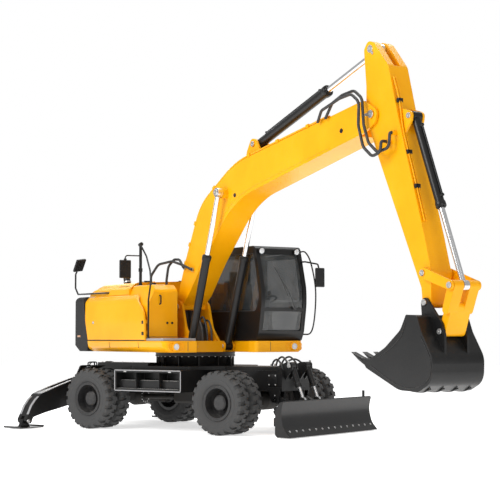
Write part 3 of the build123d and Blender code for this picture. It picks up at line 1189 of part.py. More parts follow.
def build():
    wheels()
    knuckle("knuckle_right", -1)
    knuckle("knuckle_left", 1)
    steering_rod()
    chassis()
    turntable()
    blade()
    blade_cylinders()
    side_boxes()
    drive_train()
    stabilisers()
    deck()
    house_frame()
    counterweight()
    engine()
    hood()
    side_door("side_door_right", -1, DOOR_FRONT)
    side_door("side_door_left", 1, -322)
    tank()
    hydraulics()
    cab_shell()
    cab_door()
    cab_glass()
    cab_interior()
    boom()
    boom_cylinders()
    dipper()
    dipper_cylinder()
    bucket_cylinder()
    tipping_lever()
    tipping_link()
    bucket()
    lamps()
    rails()
    deck_hoses()
    boom_lines()


build()
os.makedirs("parts", exist_ok=True)
for node, solid in PARTS.items():
    export_step(solid, f"parts/{node}.step")
print(len(PARTS), "nodes")
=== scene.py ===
"""Looks of a wheeled excavator: finishes, small fittings, studio and camera.

Metres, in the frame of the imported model: +X to the blade, +Y to the left,
+Z up. The superstructure stands turned by SLEW, so its pieces are built
facing +X and turned with Place.SLEWED.
"""
import logging
import math
from dataclasses import dataclass
from enum import Enum
from typing import Any, Sequence

import bmesh
import bpy
from mathutils import Matrix, Vector


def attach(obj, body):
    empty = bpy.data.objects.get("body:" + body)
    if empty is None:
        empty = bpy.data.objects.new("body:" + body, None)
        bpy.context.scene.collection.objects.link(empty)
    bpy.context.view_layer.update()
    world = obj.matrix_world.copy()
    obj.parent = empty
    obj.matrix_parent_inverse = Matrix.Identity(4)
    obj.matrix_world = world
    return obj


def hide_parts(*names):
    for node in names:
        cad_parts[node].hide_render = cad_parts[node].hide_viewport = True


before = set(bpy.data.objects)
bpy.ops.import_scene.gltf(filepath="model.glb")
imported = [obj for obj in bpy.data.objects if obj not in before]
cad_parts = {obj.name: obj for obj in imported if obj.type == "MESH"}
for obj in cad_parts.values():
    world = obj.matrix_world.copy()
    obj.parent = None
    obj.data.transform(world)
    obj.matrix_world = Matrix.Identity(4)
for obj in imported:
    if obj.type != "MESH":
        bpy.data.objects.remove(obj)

Vec = Vector | tuple[float, float, float]
Pair = tuple[float, float]
Colour = tuple[float, float, float, float]
Sockets = dict[str | int, Any]

log = logging.getLogger("excavator")
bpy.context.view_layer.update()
SLEW = math.radians(-20.0)
AXLES = {"front": 1.565, "rear": -1.335}
AXLE_Z = 0.525
FRONT, BACK = (1.0, 0.0, 0.0), (-1.0, 0.0, 0.0)
LEFT, RIGHT = (0.0, 1.0, 0.0), (0.0, -1.0, 0.0)
UP, DOWN = (0.0, 0.0, 1.0), (0.0, 0.0, -1.0)
ORIGIN = (0.0, 0.0, 0.0)
SIGNS = (-1.0, 1.0)
GEAR_Y = -0.15
WHITE = (1.0, 1.0, 1.0, 1.0)


class Place(Enum):
    """Frame in which a piece's points are given."""

    CARRIER = 0.0
    SLEWED = SLEW

    @property
    def matrix(self) -> Matrix:
        """Turn from this frame to the model's."""
        return Matrix.Rotation(self.value, 4, "Z")


class Side(Enum):
    """Side of the machine, with the sign of its Y."""

    RIGHT = -1
    LEFT = 1

    @property
    def label(self) -> str:
        """Word used in the names of bodies and pieces."""
        return self.name.lower()


# ------------------------------------------------------------------ shader maths
class Graph:
    """Node tree of one material or world, filled by expressions."""

    EDGE_SAMPLES = 4
    EDGE_GAIN = 3.2

    def __init__(self, name: str, kind: str = "materials") -> None:
        """Start an empty tree.

        Args:
            name: Name of the material or world.
            kind: Collection that it is made in.
        """
        self.owner = getattr(bpy.data, kind).new(name)
        self.owner.use_nodes = True
        self.tree = self.owner.node_tree
        self.tree.nodes.clear()

    def node(self, kind: str, settings: dict[str, Any] | None = None,
             sockets: Sockets | None = None, out: str | int = 0) -> "Term":
        """Add one node.

        Args:
            kind: Type of the node.
            settings: Properties, set first.
            sockets: Values or links of input sockets, by name or index.
            out: Output socket that the result stands for.

        Returns:
            The chosen output.
        """
        made = self.tree.nodes.new(kind)
        for key, value in (settings or {}).items():
            setattr(made, key, value)
        for key, value in (sockets or {}).items():
            if isinstance(value, Term):
                self.tree.links.new(value.socket, made.inputs[key])
            else:
                made.inputs[key].default_value = value
        return Term(self, made.outputs[out])

    def mix(self, factor: "Term | float", a: "Term | Colour", b: "Term | Colour") -> "Term":
        """Blend two colours by a factor from 0 to 1."""
        return self.node("ShaderNodeMix", {"data_type": "RGBA"}, {0: factor, 6: a, 7: b}, 2)

    def noise(self, scale: float, detail: float = 3.0, rough: float = 0.55,
              stretch: Vec = (1.0, 1.0, 1.0)) -> "Term":
        """Noise from 0 to 1 in the object's own space.

        Args:
            scale: Features in a metre.
            detail: Octaves.
            rough: Share of each finer octave.
            stretch: Scale along each axis.

        Returns:
            The noise's value.
        """
        where = self.node("ShaderNodeMapping", None, {"Vector": self.place(), "Scale": stretch})
        return self.node("ShaderNodeTexNoise", {"noise_dimensions": "3D"},
                         {"Vector": where, "Scale": scale, "Detail": detail, "Roughness": rough})

    def wave(self, way: str, scale: float, distortion: float = 0.0) -> "Term":
        """Bands from 0 to 1 across a direction in the object's own space."""
        return self.node("ShaderNodeTexWave", {"wave_type": "BANDS", "bands_direction": way},
                         {"Vector": self.place(), "Scale": scale, "Distortion": distortion}, "Fac")

    def cells(self, scale: float) -> "Term":
        """Distance to cell points in the object's own space."""
        return self.node("ShaderNodeTexVoronoi", None, {"Vector": self.place(), "Scale": scale})

    def place(self) -> "Term":
        """Position in the object's own space."""
        return self.node("ShaderNodeTexCoord", out="Object")

    def facing(self) -> "Term":
        """Direction that the surface faces."""
        return self.node("ShaderNodeNewGeometry", out="Normal")

    def upward(self) -> "Term":
        """How far the surface faces up, from -1 to 1."""
        return self.node("ShaderNodeSeparateXYZ", None, {0: self.facing()}, "Z")

    def rounded(self, radius: float) -> "Term":
        """Direction of the surface with its sharp edges rounded."""
        return self.node("ShaderNodeBevel", {"samples": self.EDGE_SAMPLES}, {"Radius": radius})

    def edges(self, width: float) -> "Term":
        """Mask of outer and inner edges.

        Args:
            width: Reach of the mask from an edge, in metres.

        Returns:
            1 on a sharp edge, 0 on flat ground.
        """
        same = self.node("ShaderNodeVectorMath", {"operation": "DOT_PRODUCT"},
                         {0: self.rounded(width), 1: self.facing()}, "Value")
        return ((1.0 - same) * self.EDGE_GAIN).clamped()

    def bump(self, height: "Term", strength: float, distance: float, edge: float = 0.0) -> "Term":
        """Normal disturbed by a height.

        Args:
            height: Height from 0 to 1.
            strength: Share of the effect.
            distance: Depth in metres.
            edge: Radius of the rounding of sharp edges, in metres.

        Returns:
            The normal.
        """
        sockets: Sockets = {"Height": height, "Strength": strength, "Distance": distance}
        if edge > 0:
            sockets["Normal"] = self.rounded(edge)
        return self.node("ShaderNodeBump", None, sockets)

    def surface(self, sockets: Sockets) -> bpy.types.Material:
        """Close the material with a principled surface and return it."""
        self.close(self.node("ShaderNodeBsdfPrincipled", None, sockets))
        return self.owner

    def close(self, shader: "Term", kind: str = "Material") -> None:
        """Link a shader to the output of a material or world."""
        end = self.tree.nodes.new("ShaderNodeOutput" + kind)
        self.tree.links.new(shader.socket, end.inputs["Surface"])


class Term:
    """One output socket that takes part in expressions on values."""

    def __init__(self, graph: Graph, socket: bpy.types.NodeSocket) -> None:
        """Wrap a socket of a graph."""
        self.graph = graph
        self.socket = socket

    def _math(self, operation: str, a: "Term | float", b: "Term | float") -> "Term":
        """Add one Math node and return its result."""
        return self.graph.node("ShaderNodeMath", {"operation": operation}, {0: a, 1: b})

    def __add__(self, other: "Term | float") -> "Term":
        """Sum."""
        return self._math("ADD", self, other)

    def __radd__(self, other: float) -> "Term":
        """Sum with a number on the left."""
        return self._math("ADD", other, self)

    def __sub__(self, other: "Term | float") -> "Term":
        """Difference."""
        return self._math("SUBTRACT", self, other)

    def __rsub__(self, other: float) -> "Term":
        """Difference from a number on the left."""
        return self._math("SUBTRACT", other, self)

    def __mul__(self, other: "Term | float") -> "Term":
        """Product."""
        return self._math("MULTIPLY", self, other)

    def __rmul__(self, other: float) -> "Term":
        """Product with a number on the left."""
        return self._math("MULTIPLY", other, self)

    def larger(self, other: "Term") -> "Term":
        """The larger of two values."""
        return self._math("MAXIMUM", self, other)

    def clamped(self) -> "Term":
        """The value held between 0 and 1."""
        return self.between(0.0, 1.0)

    def between(self, low: float, high: float, start: float = 0.0, end: float = 1.0) -> "Term":
        """Map a range onto another and hold it there.

        Args:
            low: Value that becomes start.
            high: Value that becomes end.
            start: Result at low.
            end: Result at high.

        Returns:
            The mapped value.
        """
        return self.graph.node("ShaderNodeMapRange", {"clamp": True},
                               {0: self, 1: low, 2: high, 3: start, 4: end})


# ---------------------------------------------------------------------- finishes
def grey(level: float) -> Colour:
    """Neutral colour of one level."""
    return (level, level, level * 1.03, 1.0)


@dataclass(frozen=True)
class Enamel:
    """Sprayed enamel on plate: orange peel, dust on ledges, worn edges."""

    name: str
    colour: Colour
    deep: Colour
    bare: Colour = (0.16, 0.15, 0.14, 1.0)
    dust: Colour = (0.42, 0.36, 0.28, 1.0)
    roughness: float = 0.3
    coat: float = 0.35
    wear: float = 0.35
    dirt: float = 0.25
    gloss: float = 0.35

    def make(self) -> bpy.types.Material:
        """Build the material.

        Returns:
            The material.
        """
        g = Graph(self.name)
        broad = g.noise(1.3, 4.0)
        fine = g.noise(26.0, 5.0, 0.65)
        scuff = g.noise(60.0, 3.0, 0.6, (1.0, 1.0, 0.18))
        paint = g.mix(broad.between(0.3, 0.7), self.deep, self.colour)
        settled = (g.upward().between(0.35, 1.0) * fine.between(0.35, 0.75) * self.dirt).clamped()
        film = (broad * fine).between(0.22, 0.5) * (self.dirt * 0.45)
        chipped = (g.edges(0.006) * fine.between(0.5, 0.72) * self.wear).clamped()
        rough = self.roughness + scuff.between(0.3, 0.8) * 0.12 + settled * 0.5 + chipped * 0.25
        return g.surface({
            "Base Color": g.mix(chipped, g.mix((settled + film).clamped(), paint, self.dust),
                                self.bare),
            "Roughness": rough.clamped(),
            "Coat Weight": (self.coat * (1.0 - settled)).clamped(),
            "Coat Roughness": 0.12,
            "Specular IOR Level": self.gloss,
            "Normal": g.bump(g.noise(420.0, 2.0), 0.06, 0.0006, 0.004),
        })


@dataclass(frozen=True)
class Polished:
    """Ground and plated steel, with a thin film of oil and fine turning lines."""

    name: str
    colour: Colour = (0.82, 0.83, 0.85, 1.0)
    roughness: float = 0.13

    def make(self) -> bpy.types.Material:
        """Build the material.

        Returns:
            The material.
        """
        g = Graph(self.name)
        film = g.noise(14.0, 4.0)
        lines = g.noise(900.0, 1.0, 0.4, (1.0, 0.04, 1.0))
        return g.surface({
            "Base Color": g.mix(film.between(0.35, 0.8) * 0.45, self.colour, (0.5, 0.48, 0.44, 1.0)),
            "Metallic": 1.0,
            "Roughness": self.roughness + film.between(0.3, 0.8) * 0.16 + lines * 0.04,
            "Normal": g.bump(lines, 0.05, 0.0002),
        })


@dataclass(frozen=True)
class Casting:
    """Painted or bare rough casting with patches of grime."""

    name: str
    colour: Colour
    grime: Colour = (0.03, 0.025, 0.02, 1.0)
    metallic: float = 0.2

    def make(self) -> bpy.types.Material:
        """Build the material.

        Returns:
            The material.
        """
        g = Graph(self.name)
        grain = g.noise(180.0, 4.0, 0.6)
        patch = g.noise(5.0, 4.0)
        colour = g.mix(patch.between(0.3, 0.7), self.colour, self.grime)
        return g.surface({
            "Base Color": g.mix((g.edges(0.005) * patch * 0.6).clamped(), colour,
                                (0.2, 0.19, 0.18, 1.0)),
            "Metallic": self.metallic,
            "Roughness": 0.5 + grain * 0.25,
            "Normal": g.bump(grain, 0.3, 0.0012, 0.005),
        })


@dataclass(frozen=True)
class TyreRubber:
    """Carbon-black rubber: moulding grain, dry dust and a scuffed tread."""

    name: str
    colour: Colour = (0.014, 0.014, 0.015, 1.0)
    dust: Colour = (0.075, 0.07, 0.065, 1.0)

    def make(self) -> bpy.types.Material:
        """Build the material.

        Returns:
            The material.
        """
        g = Graph(self.name)
        cloud = g.noise(9.0, 5.0, 0.6)
        scuffed = (g.edges(0.01) * cloud.between(0.35, 0.7) * 0.7).clamped()
        dusty = (cloud.between(0.42, 0.78) * 0.4 + scuffed).clamped()
        return g.surface({
            "Base Color": g.mix(dusty, self.colour, self.dust),
            "Roughness": 0.55 + cloud * 0.2,
            "Normal": g.bump(g.noise(260.0, 3.0), 0.2, 0.0008, 0.004),
        })


@dataclass(frozen=True)
class Hose:
    """Rubber hose with its wrapped outer cover."""

    name: str
    colour: Colour = (0.02, 0.02, 0.021, 1.0)

    def make(self) -> bpy.types.Material:
        """Build the material.

        Returns:
            The material.
        """
        g = Graph(self.name)
        cloud = g.noise(11.0, 3.0)
        return g.surface({
            "Base Color": g.mix(cloud.between(0.4, 0.8) * 0.35, self.colour, (0.11, 0.1, 0.09, 1.0)),
            "Roughness": 0.42 + cloud * 0.2,
            "Normal": g.bump(g.noise(330.0, 2.0), 0.25, 0.0006),
        })


@dataclass(frozen=True)
class Grained:
    """Moulded plastic with a fine leather grain."""

    name: str
    colour: Colour
    roughness: float = 0.5

    def make(self) -> bpy.types.Material:
        """Build the material.

        Returns:
            The material.
        """
        g = Graph(self.name)
        cloud = g.noise(6.0, 3.0)
        lighter = tuple(min(c * 1.9 + 0.01, 1.0) for c in self.colour[:3]) + (1.0,)
        return g.surface({
            "Base Color": g.mix(cloud.between(0.3, 0.8) * 0.5, self.colour, lighter),
            "Roughness": self.roughness + cloud * 0.12,
            "Normal": g.bump(g.cells(520.0), 0.2, 0.0005, 0.003),
        })


@dataclass(frozen=True)
class Woven:
    """Seat cloth: a twill of two threads with faint faded patches."""

    name: str
    colour: Colour = (0.035, 0.036, 0.04, 1.0)
    thread: Colour = (0.11, 0.11, 0.12, 1.0)

    def make(self) -> bpy.types.Material:
        """Build the material.

        Returns:
            The material.
        """
        g = Graph(self.name)
        threads = (g.wave("DIAGONAL", 160.0, 0.6) * g.wave("X", 210.0, 0.3)).clamped()
        pale = threads * 0.6 + g.noise(5.0, 3.0).between(0.4, 0.8) * 0.3
        return g.surface({
            "Base Color": g.mix(pale.clamped(), self.colour, self.thread),
            "Roughness": 0.82 + threads * 0.1,
            "Sheen Weight": 0.3,
            "Normal": g.bump(threads, 0.35, 0.0008),
        })


@dataclass(frozen=True)
class Pane:
    """Tinted safety glass with a trace of dust."""

    name: str
    tint: Colour = (0.035, 0.04, 0.042, 1.0)
    clear: float = 0.52

    def make(self) -> bpy.types.Material:
        """Build the material.

        Returns:
            The material.
        """
        g = Graph(self.name)
        film = (g.noise(3.0, 4.0, 0.6).between(0.42, 0.75) * g.noise(70.0, 2.0).between(0.3,
                                                                                        0.7)).clamped()
        return g.surface({
            "Base Color": g.mix(film, self.tint, (0.2, 0.2, 0.19, 1.0)),
            "Roughness": 0.03 + film * 0.25,
            "Alpha": (self.clear + film * 0.12).clamped(),
            "Specular IOR Level": 0.8,
        })


@dataclass(frozen=True)
class Lens:
    """Moulded lamp lens over a bright reflector, with prism ribs."""

    name: str
    colour: Colour = (0.86, 0.88, 0.9, 1.0)

    def make(self) -> bpy.types.Material:
        """Build the material.

        Returns:
            The material.
        """
        g = Graph(self.name)
        rib = g.wave("Z", 130.0)
        haze = g.noise(20.0, 3.0)
        return g.surface({
            "Base Color": g.mix((rib * 0.5 + haze * 0.3).clamped(), self.colour,
                                (0.42, 0.44, 0.46, 1.0)),
            "Roughness": 0.08 + haze * 0.12,
            "Metallic": 0.25,
            "Coat Weight": 0.8,
            "Normal": g.bump(rib, 0.5, 0.0015),
        })


@dataclass(frozen=True)
class TreadPlate:
    """Raised-bar walkway plate, dirtied and dulled in patches."""

    name: str
    colour: Colour = (0.5, 0.5, 0.49, 1.0)

    def make(self) -> bpy.types.Material:
        """Build the material.

        Returns:
            The material.
        """
        g = Graph(self.name)
        bars = (g.wave("X", 14.0) - g.wave("Y", 14.0)).between(-0.4, 0.4) * g.upward().between(0.6, 0.9)
        dirt = g.noise(8.0, 4.0)
        return g.surface({
            "Base Color": g.mix(dirt.between(0.35, 0.75) * 0.6, self.colour, (0.2, 0.17, 0.13, 1.0)),
            "Metallic": 0.85,
            "Roughness": 0.32 + dirt * 0.3,
            "Normal": g.bump(bars.clamped(), 0.6, 0.002, 0.003),
        })


SOOT = (0.07, 0.065, 0.055, 1.0)


class Finish(Enum):
    """Every finish on the machine, each built once."""

    YELLOW = Enamel("yellow_enamel", (0.94, 0.43, 0.0, 1.0), (0.86, 0.36, 0.0, 1.0),
                    coat=0.12, dirt=0.12, gloss=0.2)
    BLACK = Enamel("black_enamel", grey(0.009), grey(0.006), (0.09, 0.085, 0.08, 1.0), SOOT,
                   0.32, 0.12, 0.4, 0.2, 0.3)
    BLADE = Enamel("blade_enamel", grey(0.008), grey(0.012), (0.26, 0.25, 0.24, 1.0), SOOT,
                   0.3, 0.15, 0.8, 0.2, 0.3)
    CAB = Enamel("cab_enamel", grey(0.008), grey(0.005), (0.08, 0.08, 0.08, 1.0), SOOT,
                 0.28, 0.16, 0.25, 0.12, 0.28)
    WEIGHT = Casting("counterweight_casting", grey(0.009), grey(0.005), 0.0)
    AXLE = Casting("axle_casting", grey(0.016))
    RIM = Enamel("rim_enamel", grey(0.02), grey(0.03), (0.14, 0.13, 0.12, 1.0), (0.14, 0.13, 0.12, 1.0),
                 0.42, 0.15, 0.4, 0.6)
    # pale grey paint as painted highlight: bright folded-plate edges, step edges and leg tops
    GREY = Enamel("painted_highlight_enamel", grey(0.34), grey(0.28), (0.2, 0.2, 0.2, 1.0), (0.4, 0.38, 0.34, 1.0),
                  0.4, 0.2, 0.3, 0.3)
    CHROME = Polished("plated_rod")
    STEEL = Polished("bright_steel", (0.6, 0.6, 0.6, 1.0), 0.3)
    TYRE = TyreRubber("tyre_rubber")
    HOSE = Hose("hose_cover")
    PLASTIC = Grained("moulded_plastic", grey(0.025))
    CLOTH = Woven("seat_cloth")
    GLASS = Pane("tinted_pane")
    MIRROR = Polished("mirror_face", (0.75, 0.78, 0.8, 1.0), 0.03)
    LENS = Lens("clear_lens")
    AMBER = Lens("amber_lens", (0.8, 0.28, 0.02, 1.0))
    RED = Lens("red_lens", (0.6, 0.02, 0.015, 1.0))
    STEP = TreadPlate("step_plate")

    @property
    def material(self) -> bpy.types.Material:
        """The finish's material, built on first use."""
        return bpy.data.materials.get(self.value.name) or self.value.make()

    @property
    def slot(self) -> str:
        """Slot name that SLOTS gives this finish, black_paint when none does."""
        return next((slot for slot, names in SLOTS.items() if self.name in names.split()),
                    "black_paint")


SLOTS = {
    "yellow_paint": "YELLOW", "cast": "AXLE", "chrome_rod": "CHROME STEEL MIRROR STEP",
    "tyre_rubber": "TYRE", "hose": "HOSE PLASTIC", "seat_cloth": "CLOTH", "glass": "GLASS",
    "lens": "LENS AMBER RED",
}


# ------------------------------------------------------------------ mesh building
def ring(centre: Vec, first: Vec, second: Vec, radius: float, count: int,
         phase: float = 0.0) -> list[Vector]:
    """Points of a circle.

    Args:
        centre: Its centre.
        first: Direction of angle 0.
        second: Direction of a quarter turn.
        radius: Its radius.
        count: Number of points.
        phase: Turn of the first point, in steps.

    Returns:
        The points in order.
    """
    turns = (2 * math.pi * (k + phase) / count for k in range(count))
    return [Vector(centre) + (Vector(first) * math.cos(t) + Vector(second) * math.sin(t)) * radius
            for t in turns]


def spot(axes: tuple[int, int], pair: Sequence[float], depth: float) -> Vector:
    """Point from two coordinates along given axes and one along the third.

    Args:
        axes: Indices of the two axes.
        pair: Coordinates along them.
        depth: Coordinate along the third.

    Returns:
        The point.
    """
    point = Vector((0.0, 0.0, 0.0))
    point[axes[0]], point[axes[1]], point[3 - sum(axes)] = pair[0], pair[1], depth
    return point


def show(name: str, data: Any) -> bpy.types.Object:
    """Make an object and put it into the scene.

    Args:
        name: Name of the object.
        data: Mesh, lamp or camera that it shows.

    Returns:
        The object.
    """
    made = bpy.data.objects.new(name, data)
    bpy.context.collection.objects.link(made)
    return made


class Mesh:
    """Mesh under construction, in one frame, closed into a named piece."""

    def __init__(self, place: Place = Place.CARRIER) -> None:
        """Start an empty mesh in a frame."""
        self.bm = bmesh.new()
        self.place = place

    def soften(self, edges: set[bmesh.types.BMEdge], radius: float) -> None:
        """Round some edges.

        Args:
            edges: The edges.
            radius: Radius of the rounding; 0 leaves them sharp.
        """
        if radius > 0:
            bmesh.ops.bevel(self.bm, geom=list(edges), offset=radius, segments=2, affect="EDGES",
                            profile=0.5, clamp_overlap=True)

    def skin(self, rings: Sequence[Sequence[Vec]], caps: bool = True,
             closed: bool = False) -> list[bmesh.types.BMFace]:
        """Add faces from ring to ring.

        Args:
            rings: Rings of points. A ring of one point is a tip.
            caps: Whether the first and the last ring are filled.
            closed: Whether the last ring joins the first.

        Returns:
            The new faces.
        """
        made = [[self.bm.verts.new(p) for p in points] for points in rings]
        faces = [self.bm.faces.new(points) for points in (made[0], made[-1]) if caps]
        for a, b in zip(made, made[1:] + (made[:1] if closed else [])):
            for k in range(max(len(a), len(b))):
                corners = [a[k % len(a)], a[(k + 1) % len(a)], b[(k + 1) % len(b)], b[k % len(b)]]
                unique = list(dict.fromkeys(corners))
                if len(unique) > 2:
                    faces.append(self.bm.faces.new(unique))
        bmesh.ops.recalc_face_normals(self.bm, faces=faces)
        return faces

    def box(self, low: Vec, high: Vec, bevel: float = 0.004) -> None:
        """Add a box between two corners with rounded edges.

        Args:
            low: Lowest corner.
            high: Highest corner.
            bevel: Radius of its edges.
        """
        size = [b - a for a, b in zip(low, high)]
        middle = [(a + b) / 2 for a, b in zip(low, high)]
        made = bmesh.ops.create_cube(self.bm, size=1.0, matrix=Matrix.Translation(middle)
                                     @ Matrix.Diagonal((*size, 1.0)))
        self.soften({e for v in made["verts"] for e in v.link_edges}, bevel)

    def window(self, low: Pair, high: Pair, y: Pair, bar: float, bevel: float) -> None:
        """Add four bars round an upright opening.

        Args:
            low: Lowest outer corner, in X and Z.
            high: Highest outer corner, in X and Z.
            y: Start and end along Y.
            bar: Width of the bars.
            bevel: Radius of their edges.
        """
        (x0, z0), (x1, z1) = low, high
        for a, b, c, d in ((x0, z0, x1, z0 + bar), (x0, z1 - bar, x1, z1),
                           (x0, z0, x0 + bar, z1), (x1 - bar, z0, x1, z1)):
            self.box((a, y[0], b), (c, y[1], d), bevel)

    def prism(self, outline: Sequence[Pair], axes: tuple[int, int], across: Pair,
              bevel: float = 0.0) -> None:
        """Add a plate of an outline in two axes, thick along the third.

        Args:
            outline: Corners in order.
            axes: Indices of the outline's two axes.
            across: Start and end along the third axis.
            bevel: Radius of its edges.
        """
        faces = self.skin([[spot(axes, corner, depth) for corner in outline] for depth in across])
        self.soften({e for f in faces for e in f.edges}, bevel)

    def lathe(self, profile: Sequence[Pair], origin: Vec, axis: Vec, steps: int = 32,
              closed: bool = False) -> None:
        """Add a turned body.

        Args:
            profile: Corners (radius, distance along the axis), from one end to the other.
            origin: Point on the axis at distance 0.
            axis: Direction of the axis.
            steps: Segments round the axis.
            closed: Whether the profile is a closed loop.
        """
        along = Vector(axis).normalized()
        first = along.orthogonal().normalized()
        second = along.cross(first)
        self.skin([ring(Vector(origin) + along * distance, first, second, radius,
                        steps if radius else 1)
                   for radius, distance in profile], False, closed)

    def tube(self, points: Sequence[Vec], radius: float, steps: int = 12, smooth: int = 8,
             caps: bool = True) -> None:
        """Add a round bar, pipe or hose along points, rounded into one curve.

        Args:
            points: Points that the centre line goes through.
            radius: Radius of the bar.
            steps: Segments round it.
            smooth: Steps between two points; 1 leaves straight runs.
            caps: Whether its ends are closed.
        """
        line = smooth_line([Vector(p) for p in points], smooth)
        rings = []
        normal = (line[1] - line[0]).orthogonal().normalized()
        for i, point in enumerate(line):
            ahead = (line[min(i + 1, len(line) - 1)] - line[max(i - 1, 0)]).normalized()
            normal = (normal - ahead * normal.dot(ahead)).normalized()
            rings.append(ring(point, normal, ahead.cross(normal), radius, steps))
        self.skin(rings, caps)

    def bolt(self, at: Vec, axis: Vec, size: float = 0.012) -> None:
        """Add a hexagon head on its washer.

        Args:
            at: Centre of the seat.
            axis: Way out of the surface.
            size: Half the width of the head.
        """
        for sides, profile in ((12, ((0.0, 0.0), (1.7, 0.0), (1.7, 0.25), (1.1, 0.3))),
                               (6, ((1.1, 0.25), (1.1, 0.95), (0.85, 1.1), (0.0, 1.1)))):
            self.lathe([(size * a, size * b) for a, b in profile], at, axis, sides)

    def mirrored(self) -> "Mesh":
        """Add the mirror image across the frame's middle plane.

        Returns:
            This mesh.
        """
        geometry = list(self.bm.verts) + list(self.bm.edges) + list(self.bm.faces)
        made = bmesh.ops.duplicate(self.bm, geom=geometry)["geom"]
        verts = [g for g in made if isinstance(g, bmesh.types.BMVert)]
        faces = [g for g in made if isinstance(g, bmesh.types.BMFace)]
        bmesh.ops.transform(self.bm, matrix=Matrix.Diagonal((1, -1, 1, 1)), verts=verts)
        bmesh.ops.reverse_faces(self.bm, faces=faces)
        return self

    def shown(self, name: str, material: bpy.types.Material) -> bpy.types.Object:
        """Close the mesh into an object.

        Args:
            name: Name of the object.
            material: Its material.

        Returns:
            The object.
        """
        data = bpy.data.meshes.new(name)
        self.bm.to_mesh(data)
        self.bm.free()
        data.materials.append(material)
        return show(name, data)

    def piece(self, name: str, body: str, finish: Finish, smooth: float = 40.0) -> bpy.types.Object:
        """Close the mesh into an object that rides on a body.

        Args:
            name: Name of the piece.
            body: Body that it moves with.
            finish: Its finish.
            smooth: Angle in degrees under which edges are shaded smooth.

        Returns:
            The piece.
        """
        self.bm.transform(self.place.matrix)
        for face in self.bm.faces:
            face.smooth = True
        for edge in self.bm.edges:
            if len(edge.link_faces) == 2 and edge.calc_face_angle(0.0) > math.radians(smooth):
                edge.smooth = False
        made = self.shown(name, finish.material)
        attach(made, body)
        log.info("%s: %d faces on %s", name, len(made.data.polygons), body)
        return made


def slewed() -> Mesh:
    """Start a mesh on the turned superstructure."""
    return Mesh(Place.SLEWED)


def smooth_line(points: Sequence[Vector], steps: int) -> list[Vector]:
    """Run a curve through points.

    Args:
        points: Points in order.
        steps: Divisions between two points.

    Returns:
        Points along the curve.
    """
    if steps < 2 or len(points) < 3:
        return list(points)
    padded = [points[0] * 2 - points[1], *points, points[-1] * 2 - points[-2]]
    line = []
    for a, b, c, d in zip(padded, padded[1:], padded[2:], padded[3:]):
        for t in (k / steps for k in range(steps)):
            line.append(0.5 * ((2 * b) + (c - a) * t + (2 * a - 5 * b + 4 * c - d) * t * t
                               + (3 * b - a - 3 * c + d) * t ** 3))
    return line + [points[-1]]


def dress(finish: Finish, nodes: str) -> None:
    """Give carried-over solids their finish.

    Args:
        finish: The finish.
        nodes: Names of the solids, with spaces between.
    """
    for name in nodes.split():
        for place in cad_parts[name].material_slots:
            place.link = "OBJECT"
            place.material = finish.material
        log.info("%s: %s", name, finish.name)


# ------------------------------------------------------------------------ studio
@dataclass
class Studio:
    """Pale floor, soft lamps and the camera."""

    camera_at: Vec = (15.533, -18.623, 1.609)
    camera_turn: Vec = (93.619, 0.1, 37.542)
    lens: float = 98.2
    floor_half: float = 45.0
    floor_glow: float = 0.6
    surroundings: float = 0.46

    def build(self) -> None:
        """Make the camera, floor, world and lamps."""
        self.camera()
        bpy.context.scene.view_settings.view_transform = "Standard"
        self.floor()
        self.world()
        self.lamp("key_lamp", (-3.0, -15.0, 13.0), (1.5, -0.5, 1.8), 9.0, 2250.0)
        self.lamp("front_lamp", (17.0, -9.0, 7.0), (2.0, 0.0, 1.5), 7.0, 420.0)
        self.lamp("top_lamp", (2.0, 3.0, 15.0), (2.0, 0.0, 2.0), 10.0, 1300.0)
        self.lamp("rear_lamp", (-12.0, 9.0, 7.0), (0.0, 0.0, 1.8), 7.0, 600.0)

    def camera(self) -> None:
        """Place the camera."""
        data = bpy.data.cameras.new("camera")
        data.lens = self.lens
        data.sensor_width = 36.0
        data.clip_end = 300.0
        made = show("camera", data)
        made.location = self.camera_at
        made.rotation_euler = [math.radians(a) for a in self.camera_turn]
        bpy.context.scene.camera = made

    def floor(self) -> None:
        """Lay the flat pale floor, which shines a little by itself."""
        g = Graph("pale_floor")
        cloud = g.noise(0.7, 3.0)
        pale = g.mix(cloud.between(0.3, 0.7) * 0.3, (0.9, 0.9, 0.9, 1.0), (0.86, 0.86, 0.86, 1.0))
        plain = g.node("ShaderNodeBsdfPrincipled", None, {
            "Base Color": pale, "Roughness": 0.8 + cloud * 0.1, "Specular IOR Level": 0.1})
        glow = g.node("ShaderNodeEmission", None, {"Color": WHITE, "Strength": self.floor_glow})
        g.close(g.node("ShaderNodeAddShader", None, {0: plain, 1: glow}))
        mesh = Mesh()
        signs = ((-1, -1), (1, -1), (1, 1), (-1, 1))
        mesh.bm.faces.new([mesh.bm.verts.new((a * self.floor_half, b * self.floor_half, 0))
                           for a, b in signs])
        made = mesh.shown("floor", g.owner)

    def world(self) -> None:
        """Surround with even light: white to the eye and through glass, dimmer elsewhere."""
        g = Graph("surroundings", "worlds")
        bpy.context.scene.world = g.owner
        direct = g.node("ShaderNodeLightPath", out="Is Camera Ray")
        through = g.node("ShaderNodeLightPath", out="Is Transmission Ray")
        level = direct.larger(through).between(0.0, 1.0, self.surroundings, 1.0)
        g.close(g.node("ShaderNodeBackground", None, {"Color": WHITE, "Strength": level}), "World")

    def lamp(self, name: str, at: Vec, aim: Vec, size: float, power: float) -> None:
        """Hang one soft square lamp.

        Args:
            name: Name of the lamp.
            at: Its place.
            aim: Point that it shines at.
            size: Side of the square.
            power: Power in watts.
        """
        data = bpy.data.lights.new(name, "AREA")
        data.size = size
        data.energy = power
        made = show(name, data)
        made.location = at
        made.rotation_euler = (Vector(aim) - Vector(at)).to_track_quat("-Z", "Y").to_euler()


